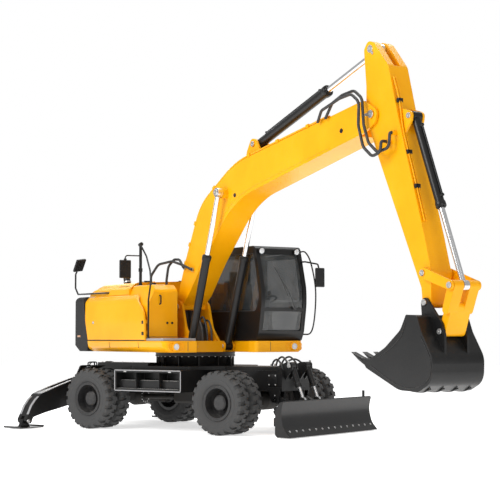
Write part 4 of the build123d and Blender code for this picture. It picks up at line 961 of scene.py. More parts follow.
# ------------------------------------------------------------------------ wheels
@dataclass
class TwinWheel:
    """Two lugged tyres on two rims and a planetary hub."""

    end: str
    side: Side
    x: float
    radius: float = AXLE_Z
    width: float = 0.27
    outer: float = 1.375
    gap: float = 0.06
    seat: float = 0.254
    lugs: int = 22
    lug_depth: float = 0.03
    nuts: int = 10
    nut_circle: float = 0.19

    def y(self, value: float) -> float:
        """A distance from the middle plane, on this wheel's side."""
        return value * self.side.value

    def build(self) -> None:
        """Build the tyres and the wheel's fittings."""
        label = f"{self.end}_{self.side.label}"
        body = f"wheel_{label}"
        tyres = Mesh()
        near = self.outer - self.width / 2
        for middle in (near, near - self.width - self.gap):
            self.carcass(tyres, middle)
            self.tread(tyres, middle)
        made = tyres.piece(f"tread_{label}", body, Finish.TYRE, 35.0)
        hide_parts(f"tyres_{label}")
        dress(Finish.RIM, body)
        self.fittings(body, label)

    def carcass(self, mesh: Mesh, middle: float) -> None:
        """Add a tyre's sidewalls, ribs and tread base.

        Args:
            mesh: Mesh that it goes into.
            middle: Distance of the tyre's middle from the middle plane.
        """
        half = self.width / 2
        seat = self.seat
        base = self.radius - self.lug_depth
        # radius, and distance inwards from the widest plane
        wall = [(seat + 0.004, 0.055), (seat + 0.018, 0.045), (seat + 0.042, 0.046),
                (seat + 0.05, 0.038),
                (seat + 0.07, 0.022), (0.355, 0.009), (0.378, 0.002), (0.384, 0.0), (0.392, 0.001),
                (0.396, 0.005), (0.42, 0.004), (0.448, 0.008), (0.452, 0.005), (0.46, 0.006),
                (0.466, 0.012), (base - 0.018, 0.022), (base, 0.045), (base + 0.002, 0.09)]
        profile = [(a, half - b) for a, b in wall] + [(base + 0.002, 0.0)]
        whole = profile + [(a, -b) for a, b in reversed(profile[:-1])]
        mesh.lathe([(a, self.y(middle + b)) for a, b in whole], (self.x, 0.0, self.radius), LEFT, 72)

    def tread(self, mesh: Mesh, middle: float) -> None:
        """Add the tread's lugs, alternating from each shoulder.

        Args:
            mesh: Mesh that they go into.
            middle: Distance of the tyre's middle from the middle plane.
        """
        pitch = 2 * math.pi / self.lugs
        for k in range(self.lugs):
            self.lug(mesh, middle, pitch * k, -1, pitch)
            self.lug(mesh, middle, pitch * (k + 0.5), 1, pitch)

    def lug(self, mesh: Mesh, middle: float, turn: float, sign: int, pitch: float) -> None:
        """Add one lug: a stepped block from the shoulder past the middle.

        Args:
            mesh: Mesh that it goes into.
            middle: Distance of the tyre's middle from the middle plane.
            turn: Angle of the lug's middle.
            sign: Shoulder that it starts from.
            pitch: Angle between two lugs of a row.
        """
        half = self.width / 2
        r = self.radius
        base = r - self.lug_depth - 0.006
        # stations across the tread: distance from the middle, start and end angle, heights
        stations = [(half - 0.006, -0.25, 0.25, r - 0.072, r - 0.05),
                    (half - 0.022, -0.26, 0.26, base - 0.03, r - 0.014),
                    (half - 0.045, -0.27, 0.27, base, r - 0.002),
                    (0.045, -0.2, 0.3, base, r), (0.0, -0.02, 0.42, base, r),
                    (-0.022, 0.08, 0.42, base, r - 0.001)]
        rings = []
        for across, start, end, low, high in stations:
            shares = ((start - 0.03, low), (start, high), (end, high), (end + 0.03, low))
            rings.append([(self.x + radius * math.cos(turn + share * pitch),
                           self.y(middle + sign * across),
                           r + radius * math.sin(turn + share * pitch)) for share, radius in shares])
        mesh.skin(rings)

    def fittings(self, body: str, label: str) -> None:
        """Add wheel nuts, cover bolts, the hub's cap and the rim's lock ring.

        Args:
            body: Body of the wheel.
            label: End and side of the wheel.
        """
        axis = (0.0, self.y(1.0), 0.0)
        mesh = Mesh()
        for y, circle, count, phase, size in ((1.072, self.nut_circle, self.nuts, 0.0, 0.013),
                                              (1.2655, 0.085, 8, 0.5, 0.008)):
            for at in ring((self.x, self.y(y), self.radius), FRONT, UP, circle, count, phase):
                mesh.bolt(at, axis, size)
        centre = (self.x, 0.0, self.radius)
        mesh.lathe([(0.03, 1.265), (0.03, 1.272), (0.024, 1.276), (0.0, 1.276)], centre, axis, 16)
        mesh.piece(f"wheel_nuts_{label}", body, Finish.STEEL)
        lock = Mesh()
        lock.lathe([(0.256, 1.338), (0.262, 1.345), (0.276, 1.347), (0.288, 1.342), (0.292, 1.334),
                    (0.286, 1.332), (0.27, 1.336), (0.258, 1.33)], centre, axis, 64, True)
        lock.piece(f"lock_ring_{label}", body, Finish.RIM)


# ---------------------------------------------------------------------- fittings
@dataclass(frozen=True)
class PinEnd:
    """Visible end of a pivot pin: turned cap, keeper plate and grease nipple."""

    radius: float
    thick: float = 0.01

    def add(self, mesh: Mesh, at: Vec, axis: Vec, keeper: Vec | None = None) -> None:
        """Add the end to a mesh.

        Args:
            mesh: Mesh that it goes into.
            at: Centre of the pin's end face.
            axis: Way out of the face.
            keeper: Step from the centre to the keeper's bolt, if it has one.
        """
        t = self.thick
        profile = ((1.16, -0.6), (1.16, 0.4), (1.06, 1), (0.5, 1), (0.44, 0.6), (0.2, 0.6), (0.18, 1.2),
                   (0.1, 1.7), (0.0, 1.8))
        mesh.lathe([(self.radius * a, t * b) for a, b in profile], at, axis, 28)
        if keeper is None:
            return
        out = Vector(axis).normalized()
        step = Vector(keeper)
        side = out.cross(step).normalized() * 0.02
        start = Vector(at) + out * t * 0.1
        base = [start + side, start - side, start + step * 1.2 - side, start + step * 1.2 + side]
        mesh.skin([base, [p + out * t * 0.7 for p in base]])
        mesh.bolt(start + step + out * t * 0.6, axis, 0.009)


@dataclass(frozen=True)
class Gland:
    """Screwed head of a cylinder, with its wiper lip and bolts."""

    barrel_r: float
    rod_r: float

    def add(self, mesh: Mesh, base: Vec, tip: Vec, length: float, bolts: int = 8) -> None:
        """Add the head to a mesh.

        Args:
            mesh: Mesh that it goes into.
            base: Foot of the cylinder.
            tip: Eye of its rod.
            length: Distance from the foot to the head's face.
            bolts: Number of bolts on its face.
        """
        way = (Vector(tip) - Vector(base)).normalized()
        face = Vector(base) + way * length
        r = self.barrel_r
        inner = self.rod_r + 0.002
        mesh.lathe([(r * 1.13, -0.9 * r), (r * 1.18, -0.82 * r), (r * 1.18, -0.1 * r), (r * 1.1, 0.006),
                    (r * 0.8, 0.008), (r * 0.76, 0.02), (inner + 0.006, 0.024), (inner, 0.018),
                    (inner, 0.001), (r * 1.05, 0.001)], face, way, 40, True)
        first = way.orthogonal().normalized()
        for at in ring(face + way * 0.006, first, way.cross(first), r * 0.95, bolts):
            mesh.bolt(at, way, 0.007)


@dataclass(frozen=True)
class Gasket:
    """Rubber seal round an opening, a rounded strip."""

    radius: float = 0.009

    def add(self, mesh: Mesh, corners: Sequence[Pair], axes: tuple[int, int], depth: float,
            soften: float = 0.05) -> None:
        """Add a closed strip to a mesh.

        Args:
            mesh: Mesh that it goes into.
            corners: Outline of the opening.
            axes: Indices of the outline's two axes.
            depth: Place along the third axis.
            soften: Length cut off each corner.
        """
        line = []
        for i, corner in enumerate(corners):
            here = Vector(corner)
            before = Vector(corners[i - 1]) - here
            after = Vector(corners[(i + 1) % len(corners)]) - here
            start = here + before.normalized() * min(soften, before.length * 0.4)
            end = here + after.normalized() * min(soften, after.length * 0.4)
            for t in (0.0, 0.33, 0.67, 1.0):
                line.append(spot(axes, start * (1 - t) ** 2 + here * 2 * t * (1 - t) + end * t ** 2,
                                 depth))
        mesh.tube([*line, line[0]], self.radius, 8, 1, False)


def grip_rows(mesh: Mesh, x: Pair, y: Pair, z: float, pitch: float = 0.05,
              radius: float = 0.009) -> None:
    """Add staggered rows of low round grip buttons on a level plate.

    Args:
        mesh: Mesh that they go into.
        x: Start and end along X.
        y: Start and end along Y.
        z: Height of the plate.
        pitch: Distance between buttons.
        radius: Radius of a button.
    """
    button = [(radius, -0.001), (radius * 0.92, radius * 0.3), (radius * 0.5, radius * 0.52),
              (0.0, radius * 0.55)]
    for j in range(int((y[1] - y[0]) / pitch) + 1):
        start = x[0] + (pitch / 2 if j % 2 else 0.0)
        for i in range(int((x[1] - start) / pitch) + 1):
            mesh.lathe(button, (start + i * pitch, y[0] + j * pitch, z), UP, 10)


# ----------------------------------------------------------------------- carrier
@dataclass
class Carrier:
    """Trim of the carrier: side boxes, turntable, axles, blade and stabilisers."""

    box_y: float = 1.27
    box_x: Pair = (-0.765, 0.745)
    box_z: Pair = (0.675, 1.04)
    frame_half: float = 0.39
    frame_top: float = 1.1
    race_circle: float = 0.683
    blade_x: float = 2.985
    blade_half: float = 1.28
    leg_x: float = -2.3

    def build(self) -> None:
        """Dress the carrier's solids and add its fittings."""
        dress(Finish.BLACK, "chassis_frame stabiliser_frame blade_brackets blade_barrels turntable")
        dress(Finish.BLACK, "side_boxes")
        dress(Finish.BLADE, "blade")
        dress(Finish.AXLE, "drive_train knuckle_left knuckle_right")
        dress(Finish.CHROME, "steering_rod blade_rods")
        self.box_trim()
        self.box_steps()
        self.turntable()
        self.frame_trim()
        self.axle_lines()
        self.nose_hoses()
        self.blade_fittings()
        for side in Side:
            for part in ("leg", "pad", "barrel"):
                dress(Finish.BLACK, f"stabiliser_{part}_{side.label}")
            dress(Finish.CHROME, f"stabiliser_rod_{side.label}")
            self.leg_fittings(side, f"_{side.label}")

    def box_trim(self) -> None:
        """Add the folded rims, pale grey as painted highlight, and latches of the side boxes."""
        x0, x1 = self.box_x
        z0, z1 = self.box_z
        y = -self.box_y
        rim = Mesh()
        rim.window((x0, z0), (x1, z1), (y - 0.004, y + 0.012), 0.018, 0.003)
        # pale grey rims: painted highlight along the boxes' folded edges
        rim.mirrored().piece("box_rims", "chassis", Finish.GREY)
        latch = Mesh()
        for x in (x0 + 0.25, x1 - 0.25):
            latch.box((x - 0.03, y - 0.005, z1 - 0.04), (x + 0.03, y + 0.004, z1 - 0.02), 0.003)
            latch.lathe([(0.0, 0.009), (0.008, 0.008), (0.01, 0.004), (0.01, -0.002)],
                        (x, y - 0.004, z1 - 0.03), RIGHT, 14)
        latch.mirrored().piece("box_latches", "chassis", Finish.STEEL)

    def box_steps(self) -> None:
        """Add the grip plates of the two treads in each box, and its dividers."""
        x0, x1 = self.box_x[0] + 0.06, self.box_x[1] - 0.06
        z0, z1 = self.box_z
        grips = Mesh()
        for y0, y1, z in ((-1.262, -1.19, z0 + 0.045), (-1.172, -1.05, (z0 + z1) / 2)):
            grips.box((x0, y0, z - 0.001), (x1, y1, z + 0.004), 0.002)
            grip_rows(grips, (x0 + 0.03, x1 - 0.03), (y0 + 0.02, y1 - 0.01), z + 0.004, 0.045)
        grips.mirrored().piece("box_step_grips", "chassis", Finish.STEP)
        dividers = Mesh()
        for x in (-0.27, 0.25):
            dividers.box((x, -1.262, z0 + 0.048), (x + 0.008, -1.045, z1 - 0.048), 0.002)
        dividers.mirrored().piece("box_dividers", "chassis", Finish.BLACK)

    def turntable(self) -> None:
        """Add the race's bolts and seals, the fender bolts and the pedestal's ribs."""
        bolts = Mesh()
        for at in ring((0.0, 0.0, 1.2655), FRONT, LEFT, self.race_circle, 36):
            bolts.bolt(at, DOWN, 0.011)
        for x in (-1.34, -1.1, -0.86, -0.62, -0.38):
            for y in (-0.96, 0.96):
                bolts.bolt((x, y, 1.155), UP, 0.012)
        bolts.piece("race_bolts", "chassis", Finish.STEEL)
        seal = Mesh()
        for profile in ([(0.696, 1.322), (0.708, 1.324), (0.708, 1.336), (0.696, 1.338)],
                        [(0.698, 1.268), (0.705, 1.27), (0.705, 1.285), (0.698, 1.287)]):
            seal.lathe(profile, ORIGIN, UP, 72, True)
        seal.piece("race_seals", "chassis", Finish.PLASTIC)
        ribs = Mesh()
        profile = ((0.61, 1.1), (0.69, 1.1), (0.69, 1.262), (0.657, 1.262))
        for k in range(12):
            t = math.radians(15 + 30 * k)
            c, s = math.cos(t), math.sin(t)
            ribs.skin([[(r * c - w * s, r * s + w * c, z) for r, z in profile] for w in (-0.008,
                                                                                         0.008)])
        ribs.piece("pedestal_ribs", "chassis", Finish.BLACK)

    def frame_trim(self) -> None:
        """Add bolted covers and weld beads on the frame's sides."""
        y = -self.frame_half
        covers = Mesh()
        bolts = Mesh()
        for x0, x1 in ((-1.95, -1.66), (0.86, 1.1), (1.9, 2.08)):
            covers.box((x0, y - 0.008, 0.78), (x1, y + 0.004, 0.98), 0.004)
            for x in (x0 + 0.025, x1 - 0.025):
                for z in (0.805, 0.955):
                    bolts.bolt((x, y - 0.008, z), RIGHT, 0.008)
        covers.mirrored().piece("frame_covers", "chassis", Finish.BLACK)
        for x, way in ((1.362, BACK), (1.758, FRONT)):
            for k in range(3):
                bolts.bolt((x, -0.09 + 0.09 * k, 0.62), way, 0.011)
        bolts.mirrored().piece("frame_bolts", "chassis", Finish.STEEL)
        weld = Mesh()
        for z in (0.702, 1.036):
            weld.tube([(-1.7, y - 0.001, z), (2.1, y - 0.001, z)], 0.005, 8, 1)
        weld.mirrored().piece("frame_welds", "chassis", Finish.BLACK)

    def axle_lines(self) -> None:
        """Add brake lines, housing bolts and the boots of the shafts."""
        lines = Mesh()
        bolts = Mesh()
        for x, way in ((AXLES["front"], -1.0), (AXLES["rear"], 1.0)):
            for s in SIGNS:
                lines.tube([(x - 0.1, 0.12 * s, 0.69), (x - 0.125, 0.3 * s, 0.675),
                            (x - 0.118, 0.45 * s, 0.64), (x - 0.106, 0.5 * s, 0.59)], 0.009, 8)
            for at in ring((x + way * 0.152, 0.0, AXLE_Z), LEFT, UP, 0.1, 12):
                bolts.bolt(at, (way, 0.0, 0.0), 0.008)
        lines.piece("brake_lines", "chassis", Finish.HOSE)
        bolts.piece("housing_bolts", "chassis", Finish.STEEL)
        boots = Mesh()
        for x, way in ((0.13, FRONT), (-0.34, BACK)):
            boots.lathe([(0.05 + 0.024 * (i % 2), 0.11 * i / 9) for i in range(10)], (x, 0.0, AXLE_Z),
                        way, 28)
        boots.piece("shaft_boots", "chassis", Finish.PLASTIC)

    def nose_hoses(self) -> None:
        """Add the hoses that loop over the frame's nose to the blade cylinders."""
        hoses = Mesh()
        unions = Mesh()
        top = self.frame_top
        for y, lift in ((-0.3, 0.12), (-0.12, 0.16), (0.12, 0.16), (0.3, 0.12)):
            hoses.tube([(1.82, y * 0.6, top - 0.01), (1.88, y * 0.7, top + lift * 0.7),
                        (1.99, y * 0.85, top + lift), (2.1, y, top + lift * 0.4),
                        (2.155, y, top - 0.09)],
                       0.016, 12)
            unions.lathe([(0.03, 0.0), (0.03, 0.012), (0.024, 0.016), (0.024, 0.04), (0.018, 0.044)],
                         (1.82, y * 0.6, top), UP, 6)
        hoses.piece("nose_hoses", "chassis", Finish.HOSE)
        unions.piece("nose_fittings", "chassis", Finish.STEEL)

    def blade_fittings(self) -> None:
        """Add the blade's bolted cutting edge, ribs, top roll, pins and cylinder heads."""
        x = self.blade_x
        half = self.blade_half
        edge = Mesh()
        outline = [(x - a, z) for a, z in ((0.004, 0.021), (0.063, 0.078), (0.109, 0.136),
                                           (0.102, 0.141),
                                           (0.055, 0.084), (0.001, 0.026))]
        edge.prism(outline, (0, 2), (-half + 0.03, half - 0.03))
        edge.piece("cutting_edge", "blade", Finish.BLADE)
        bolts = Mesh()
        for k in range(14):
            bolts.bolt((x - 0.08, -1.17 + k * 2.34 / 13, 0.112), (0.77, 0.0, 0.64), 0.012)
        bolts.piece("edge_bolts", "blade", Finish.STEEL)
        ribs = Mesh()
        outline = [(x - a, z) for a, z in ((0.315, 0.335), (0.25, 0.335), (0.205, 0.4), (0.178, 0.54),
                                           (0.19, 0.54), (0.25, 0.44))]
        for y in (-1.04 + k * 0.26 for k in range(9)):
            ribs.prism(outline, (0, 2), (y, y + 0.016), 0.003)
        ribs.piece("blade_ribs", "blade", Finish.BLACK)
        top = Mesh()
        top.tube([(x - 0.147, -half + 0.02, 0.573), (x - 0.147, half - 0.02, 0.573)], 0.014, 12, 1)
        top.piece("blade_top_roll", "blade", Finish.BLADE)
        pins = Mesh()
        for at, r in (((2.06, -0.411, 0.56), 0.036), ((2.262, -0.302, 1.12), 0.03)):
            PinEnd(r).add(pins, at, RIGHT, (0.0, 0.0, 0.07))
        pins.mirrored().piece("blade_pins", "chassis", Finish.STEEL)
        heads = Mesh()
        for y in (-0.21, 0.21):
            Gland(0.0438, 0.027).add(heads, (2.262, y, 1.12), (2.49, y, 0.56), 0.35, 6)
        heads.piece("blade_glands", "blade_barrels", Finish.BLACK)

    def leg_fittings(self, side: Side, end: str) -> None:
        """Add pins, pale top plates as painted highlight, hoses and cylinder head of one stabiliser.

        Args:
            side: Side of the machine.
            end: Last part of the names of its pieces.
        """
        s = float(side.value)
        x = self.leg_x
        pins = Mesh()
        foot = Mesh()
        hose = Mesh()
        plate = Mesh()
        for w in SIGNS:
            way = (w, 0.0, 0.0)
            PinEnd(0.04).add(pins, (x + w * 0.151, s * 0.47, 0.76), way, (0.0, s * 0.075, 0.0))
            PinEnd(0.028).add(pins, (x + w * 0.151, s * 0.33, 1.01), way)
            PinEnd(0.03).add(foot, (x + w * 0.115, s * 1.94, 0.13), way)
            dx = w * 0.03
            hose.tube([(x + dx, s * 0.14, 1.08), (x + dx, s * 0.16, 1.13), (x + dx, s * 0.25, 1.135),
                       (x + dx, s * 0.31, 1.12), (x + dx * 0.6, s * 0.325, 1.077)], 0.012, 10)
            # pale grey strip along the leg's top: painted highlight where light falls on top
            line = [(s * y, z) for y, z in ((0.62, 0.876), (0.95, 0.8), (1.3, 0.71), (1.6, 0.615),
                                            (1.76, 0.505), (1.86, 0.395), (1.95, 0.225))]
            plate.prism(line + [(y, z - 0.012) for y, z in reversed(line)], (1, 2),
                        (x + w * 0.112, x + w * 0.064))
        pins.piece("leg_pins" + end, "chassis", Finish.STEEL)
        foot.piece("foot_pins" + end, "stabiliser_leg" + end, Finish.STEEL)
        plate.piece("leg_plates" + end, "stabiliser_leg" + end, Finish.GREY)
        hose.piece("leg_hoses" + end, "chassis", Finish.HOSE)
        head = Mesh()
        Gland(0.044, 0.026).add(head, (x, s * 0.33, 1.01), (x, s * 1.15, 0.56), 0.56, 6)
        head.piece("leg_gland" + end, "stabiliser_barrel" + end, Finish.BLACK)


# ---------------------------------------------------------------- superstructure
@dataclass
class Superstructure:
    """Trim of the turning body: panels, grilles, lamps, rails and hoses."""

    half: float = 1.25
    deck_top: float = 1.53
    tail: float = 2.62
    mast: Pair = (-0.38, -0.9)
    body: str = "superstructure"

    def build(self) -> None:
        """Dress the body's solids and add its fittings."""
        dress(Finish.YELLOW, "deck house_frame fuel_tank engine_hood side_door_left side_door_right")
        dress(Finish.WEIGHT, "counterweight")
        dress(Finish.AXLE, "engine_block hydraulics")
        dress(Finish.LENS, "lamps")
        dress(Finish.BLACK, "mast_rail hood_trim")
        dress(Finish.HOSE, "deck_hoses")
        self.lamp_rims()
        self.door_fittings()
        self.left_louvres()
        self.hood_fittings()
        self.weight_fittings()
        self.tank_fittings()
        self.deck_fittings()
        self.mirrors()
        self.tower_pins()
        self.valve_fittings()

    def lamp_rims(self) -> None:
        """Add round rims to the corner lamps, and the frames of their bays."""
        for name, x, y in (("right", 1.13, -1.03), ("left", 1.59, 1.03)):
            rim = slewed()
            rim.lathe([(0.054, 0.0), (0.076, 0.0), (0.078, 0.012), (0.07, 0.024), (0.058, 0.028),
                       (0.054, 0.02)], (x, y, 1.435), FRONT, 36, True)
            rim.piece(f"lamp_rim_{name}", self.body, Finish.YELLOW)
            bay = slewed()
            corners = ((-0.12, 1.372), (-0.145, 1.435), (-0.12, 1.498), (0.12, 1.498), (0.145, 1.435),
                       (0.12, 1.372), (-0.12, 1.372))
            bay.tube([(x + 0.004, y + dy, z) for dy, z in corners], 0.008, 8, 6)
            bay.piece(f"lamp_bay_{name}", self.body, Finish.YELLOW)

    def door_fittings(self) -> None:
        """Add the side doors' latches, hinges and edge strips."""
        for side, front, latches in ((Side.RIGHT, 0.44, (-1.52,)), (Side.LEFT, -0.322, (-1.52, -0.62))):
            s = float(side.value)
            body = f"side_door_{side.label}"
            y = s * (self.half + 0.0135)
            metal = slewed()
            for x in latches:
                metal.lathe([(0.0, 0.012), (0.02, 0.012), (0.026, 0.006), (0.028, -0.006)],
                            (x, y, 1.86), (0.0, s, 0.0), 24)
                slot = y + s * 0.012
                metal.box((x - 0.016, slot - 0.003, 1.855), (x + 0.016, slot + 0.003, 1.865), 0.001)
            metal.piece(f"door_latches_{side.label}", body, Finish.STEEL)
            pads = slewed()
            inner, outer = sorted((y, y - s * 0.02))
            for z in (1.66, 1.85):
                pads.box((front - 0.1, inner, z - 0.03), (front - 0.03, outer + 0.001, z + 0.03), 0.004)
            pads.piece(f"door_hinges_{side.label}", body, Finish.BLACK)
            strip = slewed()
            strip.tube([(x, s * 1.251, 1.545) for x in (-1.75, -0.6, front - 0.01)], 0.006, 8, 1)
            strip.piece(f"door_seal_{side.label}", body, Finish.PLASTIC)

    def left_louvres(self) -> None:
        """Add the radiator louvres of the left side door and their frame."""
        y = self.half + 0.012
        (x0, z0), (x1, z1) = low, high = (-1.45, 1.68), (-0.75, 2.1)
        border = slewed()
        border.window(low, high, (y - 0.01, y + 0.008), 0.02, 0.004)
        border.piece("louvre_frame", "side_door_left", Finish.BLACK)
        slats = slewed()
        for z in (z0 + 0.03 + k * 0.0285 for k in range(13)):
            slats.prism([(y - 0.008, z), (y + 0.006, z), (y + 0.008, z + 0.004), (y - 0.006, z + 0.02),
                         (y - 0.008, z + 0.02)], (1, 2), (x0 + 0.018, x1 - 0.018))
        slats.piece("louvre_slats", "side_door_left", Finish.BLACK)

    def hood_fittings(self) -> None:
        """Add the hood's vents, hinges and ribs, and the tailpipe's rings."""
        slots = slewed()
        for count, start, outline in (
            (9, -1.82, [(-0.99, 2.488), (-0.79, 2.556), (-0.795, 2.572), (-0.995, 2.504)]),
            (8, -1.0, [(-1.0, 2.484), (-0.86, 2.534), (-0.865, 2.55), (-1.005, 2.5)]),
        ):
            for x in (start + k * 0.052 for k in range(count)):
                slots.prism(outline, (1, 2), (x, x + 0.03), 0.003)
        slots.piece("hood_vents", "engine_hood", Finish.BLACK)
        hinge = slewed()
        for y, z, low, high in ((-0.7, 2.586, 2.574, 2.586), (0.0, 2.6, 2.592, 2.602),
                                (0.7, 2.586, 2.574, 2.586)):
            hinge.tube([(-0.492, y - 0.06, z), (-0.492, y + 0.06, z)], 0.013, 12, 1)
            hinge.box((-0.62, y - 0.05, low), (-0.5, y + 0.05, high), 0.003)
        hinge.piece("hood_hinges", "engine_hood", Finish.BLACK)
        rib = slewed()
        for y in (-0.52, 0.52):
            rib.tube([(-1.5, y, 2.566), (-1.2, y, 2.582), (-0.56, y, 2.582)], 0.012, 10, 4)
        rib.piece("hood_ribs", "engine_hood", Finish.YELLOW)
        rings = slewed()
        foot = Vector((-1.12, -0.76, 2.5))
        way = (Vector((-1.19, -0.76, 2.7)) - foot).normalized()
        for along, profile in (
            (0.085, [(0.0635, 0.0), (0.07, 0.002), (0.07, 0.022), (0.0635, 0.024)]),
            (0.198, [(0.05, 0.0), (0.064, 0.0), (0.066, 0.006), (0.064, 0.012), (0.05, 0.012)]),
        ):
            rings.lathe(profile, foot + way * along, way, 32, True)
        rings.piece("tailpipe_rings", "engine_hood", Finish.STEEL)

    def rear(self, y: float) -> float:
        """X of the counterweight's round back at a distance from the middle."""
        return -math.sqrt(self.tail ** 2 - y * y)

    def weight_fittings(self) -> None:
        """Add the counterweight's reflectors, lamps, plugs and seams."""
        mesh = slewed()
        lamp = slewed()
        for s in SIGNS:
            x, y = self.rear(0.95), s * 0.95
            mesh.box((x - 0.004, y - 0.07, 1.62), (x + 0.03, y + 0.07, 1.665), 0.003)
            lamp.lathe([(0.0, 0.018), (0.03, 0.016), (0.045, 0.008), (0.05, -0.02)],
                       (x + 0.012, y, 1.76),
                       (-1.0, 0.36 * s, 0.0), 28)
        mesh.piece("tail_reflectors", self.body, Finish.RED)
        lamp.piece("tail_lamps", self.body, Finish.RED)
        side = slewed()
        side.box((-2.2, -1.258, 1.6), (-2.08, -1.246, 1.635), 0.003)
        side.mirrored().piece("side_reflectors", self.body, Finish.AMBER)
        plugs = slewed()
        for y in (-0.55, 0.0, 0.55):
            plugs.lathe([(0.0, 0.008), (0.034, 0.008), (0.04, 0.0), (0.04, -0.03)],
                        (self.rear(y) + 0.008, y, 1.95), (-1.0, y / 2.6, 0.0), 24)
        plugs.piece("weight_plugs", self.body, Finish.BLACK)
        seam = slewed()
        seam.tube([(-1.99, -1.2505, 2.33), (-1.79, -1.2505, 1.53)], 0.006, 8, 1)
        seam.mirrored().piece("weight_seams", self.body, Finish.PLASTIC)

    def tank_fittings(self) -> None:
        """Add the tank's cap, grab handle, front bolts and seams."""
        x = 0.434
        dark = slewed()
        dark.tube([(x + a, -0.96, z) for a, z in ((0.0, 2.16), (0.04, 2.17), (0.045, 2.2),
                                                  (0.045, 2.27),
                                                  (0.04, 2.3), (0.0, 2.31))], 0.012, 10)
        dark.lathe([(0.0, 0.045), (0.05, 0.045), (0.056, 0.036), (0.056, 0.012), (0.062, 0.008),
                    (0.062, 0.0)],
                   (-0.1, -0.8, 2.5), UP, 28)
        dark.piece("tank_handle_and_cap", self.body, Finish.BLACK)
        bolts = slewed()
        for y in (-0.81, -0.715):
            bolts.bolt((x, y, 1.84), FRONT, 0.013)
        bolts.piece("tank_bolts", self.body, Finish.BLACK)
        seams = slewed()
        seams.tube([(x, -1.17, 1.6), (x, -0.62, 1.6)], 0.005, 8, 1)
        seams.tube([(0.1, -1.02, 2.501), (0.1, -0.615, 2.501)], 0.005, 8, 1)
        seams.piece("tank_seams", self.body, Finish.PLASTIC)

    def deck_fittings(self) -> None:
        """Add grip plates, pale step edges as painted highlight, rail feet and skirt seams."""
        grips = slewed()
        z = self.deck_top + 0.042
        grips.box((0.47, -1.205, z - 0.001), (1.02, -0.615, z + 0.003), 0.002)
        grip_rows(grips, (0.5, 1.0), (-1.18, -0.64), z + 0.003, 0.05, 0.011)
        grips.piece("deck_grips", self.body, Finish.STEP)
        # pale grey step edges: painted highlight along the deck plate's front and side edge
        edge = slewed()
        edge.box((0.445, -1.226, z - 0.038), (1.045, -1.218, z + 0.004), 0.003)
        edge.box((1.037, -1.226, z - 0.038), (1.046, -0.6, z + 0.004), 0.003)
        edge.piece("step_edges", self.body, Finish.GREY)
        feet = slewed()
        feet.lathe([(0.016, 0.0), (0.04, 0.0), (0.04, 0.008), (0.022, 0.012), (0.016, 0.03)],
                   (0.466, -1.195, z + 0.001), UP, 24, True)
        feet.lathe([(0.027, 0.0), (0.06, 0.0), (0.06, 0.01), (0.034, 0.014), (0.028, 0.05)],
                   (*self.mast, 2.501), UP, 28, True)
        feet.piece("rail_feet", self.body, Finish.BLACK)
        seams = slewed()
        for x, y in ((0.2, -1.25), (-0.9, -1.25), (0.2, 1.25), (-0.9, 1.25)):
            seams.tube([(x, y, 1.512), (x, y * 0.9885, 1.41)], 0.005, 8, 1)
        for x, y in ((1.131, -0.8), (1.591, 0.55)):
            seams.tube([(x, y, 1.36), (x, y, 1.52)], 0.004, 8, 1)
        seams.piece("skirt_seams", self.body, Finish.PLASTIC)

    def mirrors(self) -> None:
        """Add the mirrors' faces and their ball mounts."""
        x, y = self.mast
        arm = y - 0.304
        face = slewed()
        face.box((x - 0.0245, arm - 0.09, 2.65), (x - 0.0215, arm + 0.09, 2.93), 0.001)
        face.box((1.9085, 1.265, 2.465), (1.9105, 1.405, 2.755), 0.0008)
        face.piece("mirror_faces", self.body, Finish.MIRROR)
        balls = slewed()
        for at in ((x, arm, 2.935), (x, y, 3.005)):
            balls.lathe([(0.0, 0.0), (0.02, 0.006), (0.028, 0.024), (0.02, 0.042), (0.0, 0.05)], at,
                        UP, 20)
        balls.lathe([(0.028, -0.03), (0.036, -0.03), (0.036, 0.03), (0.028, 0.03)], (x, y, 2.78), UP,
                    24, True)
        balls.piece("mirror_mounts", self.body, Finish.BLACK)

    def tower_pins(self) -> None:
        """Add pin ends at the boom's foot and the cylinders' feet."""
        pins = slewed()
        for s in SIGNS:
            PinEnd(0.052).add(pins, (0.15, GEAR_Y + s * 0.308, 2.12), (0.0, s, 0.0), (0.0, 0.0, -0.1))
            for middle in (-0.52, 0.22):
                PinEnd(0.038).add(pins, (0.735, middle + s * 0.114, 1.44), (0.0, s, 0.0))
        pins.piece("tower_pins", self.body, Finish.STEEL)

    def valve_fittings(self) -> None:
        """Add hoses from the valve block to the swing motor, and their unions."""
        hoses = slewed()
        unions = slewed()
        for y in (-0.33 + 0.09 * k for k in range(5)):
            hoses.tube([(-0.16, y, 2.08), (-0.15, y, 2.13), (-0.09, y, 2.13), (-0.05, y, 2.0),
                        (-0.04, y, 1.8),
                        (0.05, y, 1.68), (0.28, (y + GEAR_Y) / 2, 1.66)], 0.014, 10)
            unions.lathe([(0.024, 0.0), (0.024, 0.016), (0.018, 0.02), (0.018, 0.04), (0.014, 0.044)],
                         (-0.16, y, 2.08), UP, 6)
        for y, lift in ((-0.24, 0.0), (-0.15, 0.05), (-0.06, 0.0)):
            hoses.tube([(0.42, y, 1.79), (0.45, y, 1.87 + lift), (0.55, y * 1.02, 1.88 + lift),
                        (0.63, y, 1.78), (0.66, y, 1.64), (0.665, y, 1.535)], 0.018, 10)
        hoses.lathe([(0.0, 0.03), (0.05, 0.03), (0.06, 0.02), (0.06, 0.0)], (0.42, GEAR_Y, 1.82), UP,
                    24)
        hoses.piece("valve_hoses", self.body, Finish.HOSE)
        for at in ((-0.4, -0.68, 2.5), (-0.1, -0.53, 2.3)):
            unions.lathe([(0.023, 0.0), (0.036, 0.0), (0.036, 0.022), (0.028, 0.026), (0.028, 0.05),
                          (0.023, 0.052)], at, UP, 6, True)
        unions.piece("hose_unions", self.body, Finish.STEEL)


